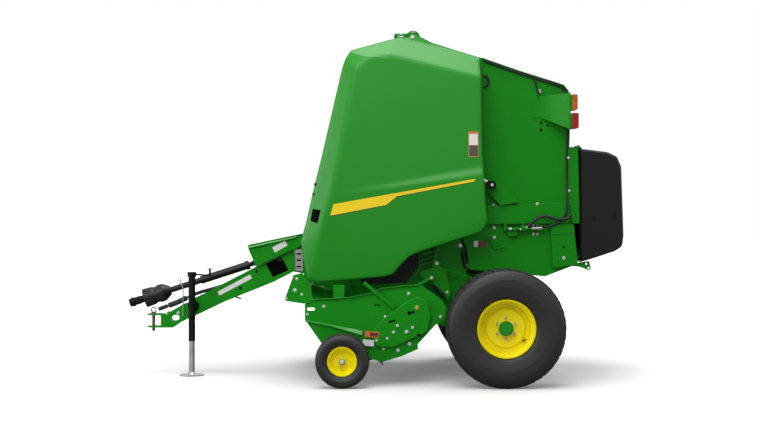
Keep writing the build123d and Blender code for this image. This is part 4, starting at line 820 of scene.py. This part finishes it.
# A paler copy of the green enamel with a little coat: a painted highlight on creases and lips.
crease_highlight_green = surface("pressed_crease", (0.050, 0.330, 0.050), (0.30, 0.42), tone=0.06, tone_scale=6.0,
                       grain=90.0, coat=0.2)
for side, sign in SIDES:
    verts = []
    for x, z, drop in COVER_LIP:
        verts += [(x, sign * COVER_SIDE, z), (x, sign * (COVER_SIDE + LIP_WIDTH), z - drop),
                  (x, sign * COVER_SIDE, z - drop)]
    lip = mesh_piece("cover_lip_" + side, verts, band(0, 3, 3) + [[0, 1, 2], [3, 4, 5]], crease_highlight_green, 20)
    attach(lip, "frame")
    rod("tongue_lip_" + side, "frame", sign * TONGUE_EDGE_Y, TONGUE_EDGE, 0.0045, crease_highlight_green)
rod("hose_sleeve", "frame", NEAR_HOSE_Y, [(-1.672, 0.554), (-1.600, 0.581), (-1.520, 0.620)], 0.023,
    hose_black, 16)
rod("hose_cover", "frame", NEAR_HOSE_Y, [(-1.460, 0.647), (-1.390, 0.672), (-1.310, 0.693), (-1.230, 0.717)],
    0.015, hose_black, 14)

# Gate cylinders: ground steel rods with forged eyes in black enamel, each held on its pin at the gate's corner
# by a zinc nut.
ROD_EYE = (0.962, 1.542)
ROD_EYE_RADIUS = 0.046


def spotted(material, centre, radius, colour):
    """Gives a material another colour inside a cylinder along Y, for a cap or an eye in a second finish."""
    tree = material.node_tree
    where = add_node(tree, "ShaderNodeTexCoord")
    centred = add_node(tree, "ShaderNodeMapping", {"Location": (-centre[0], 0.0, -centre[1])})
    flat = add_node(tree, "ShaderNodeVectorMath", {1: (1.0, 0.0, 1.0)}, operation="MULTIPLY")
    length = add_node(tree, "ShaderNodeVectorMath", operation="LENGTH")
    inside = add_node(tree, "ShaderNodeMath", {1: radius}, operation="LESS_THAN")
    wire(tree, (where, "Object", centred, "Vector"), (centred, "Vector", flat, 0), (flat, "Vector", length, 0),
         (length, "Value", inside, 0))
    recoloured(tree, inside, 0, colour)


rod_steel = surface("gate_rod_steel", (0.50, 0.50, 0.49), (0.20, 0.34), tone=0.06, tone_scale=12.0,
                    grain=300.0, metal=1.0)
spotted(rod_steel, ROD_EYE, ROD_EYE_RADIUS, (0.012, 0.012, 0.012))
dress(rod_steel, "gate_rod_left", "gate_rod_right")
for side, sign in SIDES:
    bolts("rod_eye_bolt_" + side, "rod_" + side, ["gate_rod_" + side], [(*ROD_EYE, 0.85)], zinc_bolt, (sign,))

# Gate fittings: zinc screws and clips, and bores in the gate's sheets drawn as black discs of painted shade. On
# the left are a latch rod with zinc ends, a bent handle, two blank plates, a second hose over the first, and the
# lamp's branch with its plug.
GATE_BOLTS = [(1.325, 1.396, 0.8), (0.985, 1.386, 0.8), (1.534, 0.971, 0.9), (0.990, 1.208, 0.8),
              (0.990, 1.132, 0.8), (1.298, 1.225, 0.7), (1.329, 1.158, 0.7), (1.298, 1.158, 0.7),
              (1.329, 1.225, 0.7)]
GATE_CLIPS = [(1.568, 1.821, 0.7), (1.572, 1.758, 0.7), (1.575, 1.498, 0.8), (1.590, 1.302, 0.8)]
GATE_HOLES = [(1.358, 2.035, 0.8), (1.413, 2.013, 0.7), (1.358, 1.979, 0.8), (1.534, 1.058, 0.7)]
LATCH_Y = -0.672
SECOND_HOSE = [(1.245, 1.214), (1.285, 1.252), (1.322, 1.283), (1.362, 1.298), (1.398, 1.297), (1.436, 1.285),
               (1.475, 1.274), (1.520, 1.273), (1.562, 1.283), (1.590, 1.308)]
RING_CENTRE = (0.908, 2.365)
RING_HALF = (0.036, 0.044)
RING_ANGLES = [math.radians(100 - 200 * k / 14) for k in range(15)]
sign_red = blank_film("blank_red_film", (0.13, 0.012, 0.006), 0.08)
gate_near = ["gate_side_left", "gate_side_right", "gate_beams", "corner_boxes", "gate_latches"]
for name, places, kind in (("gate_bolts", GATE_BOLTS, zinc_bolt), ("gate_clips", GATE_CLIPS, zinc_bolt),
                           ("gate_holes", GATE_HOLES, hole_shade_disc)):
    bolts(name, "gate", gate_near, places, kind)
for name, line, radius, finish in (
        ("latch_rod", [(1.106, 1.196), (1.365, 1.204)], 0.011, sheet_green),
        ("latch_eye", [(1.098, 1.196), (1.122, 1.197)], 0.015, zinc),
        ("latch_sleeve", [(1.187, 1.192), (1.248, 1.212)], 0.0125, zinc),
        ("latch_end", [(1.280, 1.201), (1.359, 1.204)], 0.0135, zinc)):
    rod(name, "gate", LATCH_Y, line, radius, finish, 14)
rod("gate_handle", "gate", -0.636, [(0.925, 1.120), (0.954, 1.117), (0.990, 1.037), (1.073, 1.060)], 0.0055,
    sheet_green)
rod("second_hose", "gate", -0.690, SECOND_HOSE, 0.0115, hose_black, 12)
plate("gate_plate_light", "gate", gate_near, rectangle(0.829, 0.862, 1.055, 1.103), sign_white)
plate("gate_plate_red", "gate", gate_near, rectangle(0.864, 0.929, 1.055, 1.103), sign_red)
rod("hose_ring", "gate", -0.634, [(RING_CENTRE[0] + RING_HALF[0] * math.cos(a),
                                   RING_CENTRE[1] + RING_HALF[1] * math.sin(a)) for a in RING_ANGLES], 0.009,
    hose_black)
rod("hose_branch", "gate", -0.640, [(1.295, 2.389), (1.318, 2.340), (1.330, 2.290), (1.335, 2.257)], 0.0065,
    hose_black)
rod("branch_plug", "gate", -0.640, [(1.343, 2.300), (1.352, 2.270)], 0.011, zinc, 12)

# Main tyres: wide flotation tyres of black rubber with a smooth rounded sidewall, moulded rings by the bead
# and a tread of drafted blocks, which one tree sets round the crown in six rows.
WHEEL_X = 1.040
WHEEL_Y = 1.010
WHEEL_Z = 0.450
TYRE_RADIUS = 0.450
TYRE_HALF = 0.1724
TREAD_DEPTH = 0.011
TYRE_CROWN = TYRE_RADIUS - TREAD_DEPTH
BEAD_RADIUS = 0.2252
TYRE_STEPS = 112
TYRE_PROFILE = [  # radius, distance in from the widest point, corner radius; from the bead to the crown
    (BEAD_RADIUS, 0.046, 0.0), (BEAD_RADIUS + 0.004, 0.030, 0.006), (BEAD_RADIUS + 0.018, 0.019, 0.006),
    (BEAD_RADIUS + 0.021, 0.0165, 0.002), (BEAD_RADIUS + 0.026, 0.0165, 0.002),
    (BEAD_RADIUS + 0.029, 0.014, 0.002), (0.315, 0.0005, 0.05), (0.372, 0.0005, 0.05), (0.418, 0.014, 0.05),
    (0.4385, 0.036, 0.022), (TYRE_CROWN, TYRE_HALF - 0.105, 0.03),
]
TREAD_ROWS = [  # y of the row, half length along the tread, half width, skew, share of a pitch
    (-0.118, 0.027, 0.020, 0.010, 0.0), (-0.070, 0.025, 0.020, -0.008, 0.5),
    (-0.023, 0.027, 0.020, 0.008, 0.0), (0.023, 0.027, 0.020, -0.008, 0.5),
    (0.070, 0.025, 0.020, 0.008, 0.0), (0.118, 0.027, 0.020, -0.010, 0.5),
]
TREAD_PITCHES = 44
BLOCK_BASE = TYRE_CROWN - 0.006
BLOCK_TOP = TYRE_RADIUS - 0.0012
BLOCK_DRAFT = 0.14


def turned(name, half_profile, half_width, spacing, steps, place, material):
    """A tyre turned about its wheel's axis from one half of its profile, with rounded corners."""
    half = [(r, inset - half_width, corner) for r, inset, corner in half_profile]
    profile = rounded_outline(half + [(r, -y, corner) for r, y, corner in reversed(half)], spacing)
    count = len(profile)
    verts, faces = [], []
    for k, (c, s) in enumerate(around(steps)):
        verts += [(place[0] + p.x * c, place[1] + p.y, place[2] + p.x * s) for p in profile]
        faces += band(k * count, (k + 1) % steps * count, count)
    return mesh_piece(name, verts, faces, material, 35)


def block_shape(outline):
    """A tread block: an outline on (along, across), from its base to its top radius, with drafted sides."""
    count = len(outline)
    middle = Vector((sum(p[0] for p in outline) / count, sum(p[1] for p in outline) / count))
    tops = [Vector(p).lerp(middle, BLOCK_DRAFT) for p in outline]
    verts = [(p[0], p[1], BLOCK_BASE) for p in outline] + [(q.x, q.y, BLOCK_TOP) for q in tops]
    return verts, [list(range(count))[::-1], list(range(count, 2 * count))] + band(0, count, count)


def tread(place):
    """Blocks on every pitch of every row, made by the scatter tree and set round the wheel."""
    made = []
    for y, long_half, wide_half, skew, share in TREAD_ROWS:
        shape = [(-long_half - skew, -wide_half), (long_half - skew, -wide_half),
                 (long_half + skew, wide_half), (-long_half + skew, wide_half)]
        block = mesh_piece("block", *block_shape(shape), tyre_rubber)
        centre = (place[0], place[1] + y, place[2])
        made.append(scattered("tread_row", block, tyre_rubber, [
            (centre, (0.0, 2 * math.pi * (k + share) / TREAD_PITCHES, 0.0), 1.0) for k in range(TREAD_PITCHES)]))
    return made


def fit_tyre(tyre, node, body):
    """Puts a finished tyre in the place of its CAD node."""
    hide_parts(node)
    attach(tyre, body)


tyre_rubber = surface("tyre_rubber", (0.0080, 0.0080, 0.0083), (0.44, 0.56), tone=0.10, tone_scale=5.0,
                      grain=150.0, bump=0.08, specular=0.46)
for side, sign in SIDES:
    middle = (WHEEL_X, sign * WHEEL_Y, WHEEL_Z)
    carcass = turned("carcass", TYRE_PROFILE, TYRE_HALF, 0.03, TYRE_STEPS, middle, tyre_rubber)
    tyre = smoothed(joined("main_tyre_" + side + "_tread", [carcass] + tread(middle)), 34)
    fit_tyre(tyre, "main_tyre_" + side, "wheel_" + side)

# Main rims: pressed steel in gloss yellow, each with a green hub cap, six zinc studs and a black rubber valve
# stem in the well.
RIM_YELLOW = (0.92, 0.785, 0.002)
CAP_GREEN = (0.006, 0.26, 0.010)
HUB_CAP_RADIUS = 0.0565
STUD_CIRCLE = 0.077
VALVE_RADIUS = 0.170
VALVE_ANGLE = math.radians(-30)
rim_bolt = (zinc, 0.0145, 0.0020, 0.0110, 0.0090, 6)
for side, sign in SIDES:
    paint = surface("rim_enamel_" + side, RIM_YELLOW, (0.24, 0.34), tone=0.02, tone_scale=4.0, grain=40.0,
                    bump=0.02, specular=0.3)
    spotted(paint, (WHEEL_X, WHEEL_Z), HUB_CAP_RADIUS, CAP_GREEN)
    rim = "main_rim_" + side
    dress(paint, rim)
    studs = [(WHEEL_X + STUD_CIRCLE * s, WHEEL_Z + STUD_CIRCLE * c, 0.72) for c, s in around(6)]
    bolts("wheel_studs_" + side, "wheel_" + side, [rim], studs, rim_bolt, (sign,))
    x, z = WHEEL_X + VALVE_RADIUS * math.cos(VALVE_ANGLE), WHEEL_Z + VALVE_RADIUS * math.sin(VALVE_ANGLE)
    y = landing([rim], x, z, sign)
    stem = tube([(x, y - sign * 0.002, z), (x - 0.006, y + sign * 0.016, z - 0.004),
                 (x - 0.020, y + sign * 0.026, z - 0.012)], 0.0055, 8)
    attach(mesh_piece("valve_stem_" + side, *stem, hose_black, 40), "wheel_" + side)

# Gauge wheels: small pneumatic tyres with three ribs round the tread, on pressed yellow rims. Each turns on a
# spindle of the pickup's side and is held by a zinc nut.
GAUGE_X = -0.197
GAUGE_Y = 1.080
GAUGE_RADIUS = 0.206
GAUGE_HALF = 0.0825
GAUGE_BEAD = 0.1122
GAUGE_STEPS = 80
GAUGE_PROFILE = [  # radius, distance in from the widest point, corner radius; from the bead to the crown
    (GAUGE_BEAD, 0.0325, 0.0), (GAUGE_BEAD + 0.004, 0.0165, 0.004), (GAUGE_BEAD + 0.012, 0.0125, 0.004),
    (0.150, 0.0005, 0.02), (0.172, 0.0005, 0.02), (0.197, 0.0125, 0.016), (0.2035, 0.0305, 0.008),
    (0.2040, 0.0485, 0.002), (0.1975, 0.0505, 0.001), (0.1975, 0.0585, 0.001), (0.2052, 0.0605, 0.002),
    (0.2055, 0.0765, 0.002), (0.1985, 0.0785, 0.001),
]
gauge_yellow = surface("gauge_rim_enamel", RIM_YELLOW, (0.26, 0.36), tone=0.02, tone_scale=7.0, grain=60.0,
                       specular=0.3)
for side, sign in SIDES:
    tyre = turned("gauge_tyre_" + side + "_ribbed", GAUGE_PROFILE, GAUGE_HALF, 0.02, GAUGE_STEPS,
                  (GAUGE_X, sign * GAUGE_Y, GAUGE_RADIUS), tyre_rubber)
    fit_tyre(tyre, "gauge_tyre_" + side, "gauge_wheel_" + side)
    dress(gauge_yellow, "gauge_rim_" + side)
    bolts("gauge_nut_" + side, "pickup", ["pickup_side_" + side], [(GAUGE_X, GAUGE_RADIUS, 1.3)], zinc_bolt,
          (sign,))

# Pickup: side plates, drive cover, hoops, wind guard and lift cylinder in green enamel, bolted together with
# zinc screws. The pivot has a yellow-passivated nut; bores are black discs of painted shade, and a black plate
# at the drive cover's top edge paints the shade of a notch.
PICKUP_BOLTS = [(0.127, 0.532, 0.7), (0.221, 0.464, 0.8), (0.191, 0.414, 0.8), (0.336, 0.451, 0.8),
                (0.290, 0.418, 1.0), (0.314, 0.322, 1.0), (0.142, 0.367, 0.7), (0.061, 0.350, 0.7),
                (0.115, 0.284, 0.6), (0.226, 0.274, 0.9), (0.550, 0.531, 0.8), (-0.341, 0.609, 0.8),
                (-0.467, 0.549, 0.7)]
UNDER_DRIVE_COVER = PICKUP_BOLTS[:5] + PICKUP_BOLTS[9:10]
PICKUP_HOLES = [(0.383, 0.392, 0.9), (0.312, 0.560, 1.1), (0.340, 0.566, 0.9)]
WIND_BOLTS = [(-0.548, 0.821, 0.8), (-0.562, 0.733, 1.0), (-0.630, 0.668, 0.8), (-0.510, 0.700, 0.7)]
COVER_NOTCH = [(0.150, 0.484), (0.176, 0.486), (0.214, 0.503), (0.204, 0.510), (0.160, 0.500)]
dress(sheet_green, "pickup_side_left", "pickup_side_right", "pickup_beams", "strippers", "windguard",
      "drive_cover", "lift_barrel")
yellow_zinc = surface("yellow_zinc", (0.46, 0.38, 0.07), (0.34, 0.46), tone=0.14, tone_scale=30.0, grain=160.0,
                      metal=0.3)
pivot_nut = (yellow_zinc, *zinc_bolt[1:])
pickup_near = ["pickup_side_left", "drive_cover"]
bolts("pickup_bolts_left", "pickup", pickup_near, PICKUP_BOLTS, zinc_bolt, (-1,))
bolts("pickup_bolts_right", "pickup", ["pickup_side_right"],
      [place for place in PICKUP_BOLTS if place not in UNDER_DRIVE_COVER], zinc_bolt, (1,))
bolts("pickup_holes", "pickup", pickup_near, PICKUP_HOLES, hole_shade_disc, (-1,))
bolts("pickup_pivot_nut", "pickup", pickup_near, [(0.370, 0.602, 1.2)], pivot_nut, (-1,))
plate("cover_notch", "pickup", pickup_near, COVER_NOTCH, hole_shade_black)
bolts("lift_pin_bolt", "frame", ["lower_brackets"], [(0.491, 0.817, 0.9)], zinc_bolt, (-1,))
bolts("lift_eye_bolt", "pickup", ["pickup_side_left", "pickup_beams"], [(0.308, 0.708, 0.9)], zinc_bolt, (-1,))
bolts("windguard_bolts", "pickup", ["windguard"], WIND_BOLTS, zinc_bolt)

# Creases and plates of the pickup's sides: a crease pressed into each side plate stands out and is painted a
# paler green as a highlight. On the left are blank plates of printed film.
PICKUP_FACE = 0.9502
CREASE_OUT = 0.9685
CREASE = [  # x, z, width above the ridge
    (-0.483, 0.500, 0.005), (-0.278, 0.459, 0.008), (-0.121, 0.414, 0.024), (-0.069, 0.396, 0.030),
    (-0.048, 0.394, 0.026)]
PICKUP_PLATES = [  # name, corners, film, height over the sheet
    ("white", [(-0.047, 0.312), (0.041, 0.305), (0.043, 0.352), (-0.043, 0.360)], sign_white, 0.0008),
    ("orange", [(-0.028, 0.378), (0.079, 0.371), (0.082, 0.415), (-0.025, 0.424)], sign_orange, 0.0008),
    ("dark", [(0.010, 0.382), (0.074, 0.378), (0.076, 0.408), (0.012, 0.414)], sign_red, 0.0014),
    ("light", [(-0.022, 0.384), (0.006, 0.382), (0.008, 0.414), (-0.020, 0.417)], sign_white, 0.0014),
]
for side, sign in SIDES:
    verts, faces = [], []
    for i, (x, z, width) in enumerate(CREASE):
        verts += [(x, sign * PICKUP_FACE, z + width), (x, sign * CREASE_OUT, z),
                  (x, sign * PICKUP_FACE, z - 0.006)]
        if i:
            for a in (3 * i - 3, 3 * i - 2):
                faces.append([a, a + 3, a + 4, a + 1] if sign > 0 else [a, a + 1, a + 4, a + 3])
    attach(mesh_piece("pickup_crease_" + side, verts, faces, crease_highlight_green, 40), "pickup")
for name, corners, film_material, stand in PICKUP_PLATES:
    plate("pickup_plate_" + name, "pickup", pickup_near, corners, film_material, stand)

# Lamps: lenses moulded in tinted plastic, amber above and red below. They are fixed to the green brackets
# that stand out from the gate.
for name, colour in (("amber", (0.52, 0.105, 0.006)), ("red", (0.36, 0.008, 0.007))):
    lens = surface(name + "_lens", colour, (0.14, 0.24), tone=0.10, tone_scale=20.0, grain=60.0, specular=0.25)
    dress(lens, name + "_lamps")

# Net cover: a deep lid moulded in charcoal plastic that hinges on the net box, with dark screws through its
# sides.
NET_COVER_BOLTS = [(1.774, 1.286, 0.8), (1.935, 1.316, 0.8), (1.935, 1.280, 0.8)]
moulded = surface("moulded_charcoal", (0.0085, 0.0078, 0.0085), (0.46, 0.60), tone=0.08, grain=320.0,
                  bump=0.12, specular=0.20)
dress(moulded, "net_cover")
bolts("net_cover_bolts", "net_cover", ["net_cover"], NET_COVER_BOLTS, dark_bolt)

# Balance and feed springs: close-wound wire in black enamel, with a hooked end round the stud at each eye.
# The studs are turned steel in the same enamel and stand on the frame's left side.
SPRINGS = [  # start (x, z), end (x, z), y, y of the sheet under it, coil, wire and stud radius, turns
    ((0.500, 0.762), (0.600, 0.655), -0.708, -0.6902, 0.0140, 0.0022, 0.008, 24),
    ((0.736, 1.026), (0.752, 0.898), -0.660, -0.6202, 0.0115, 0.0019, 0.0065, 26),
]
HOOK = 0.014
COIL_STEPS = 12
STUD_HEAD = 0.006
spring_parts = []
for (x0, z0), (x1, z1), y, seat_y, coil, wire_radius, stud, turns in SPRINGS:
    start, stop = Vector((x0, y, z0)), Vector((x1, y, z1))
    along = (stop - start).normalized()
    across = Vector((0.0, 1.0, 0.0))
    upright = along.cross(across).normalized()
    length = (stop - start).length - 2 * HOOK
    steps = turns * COIL_STEPS
    points = [start + along * HOOK * 0.2]
    for k in range(steps + 1):
        angle = 2 * math.pi * k / COIL_STEPS
        points.append(start + along * (HOOK + length * k / steps) +
                      (across * math.cos(angle) + upright * math.sin(angle)) * coil)
    points.append(stop - along * HOOK * 0.2)
    spring_parts.append(mesh_piece("spring_wire", *tube(points, wire_radius, 6), black_enamel, 40))
    for x, z in ((x0, z0), (x1, z1)):
        spring_stud = tube([(x, y - STUD_HEAD, z), (x, seat_y, z)], stud, 16)
        spring_parts.append(mesh_piece("spring_stud", *spring_stud, black_enamel, 40))
coils = joined("spring_coils", spring_parts)
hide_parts("springs")
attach(coils, "frame")
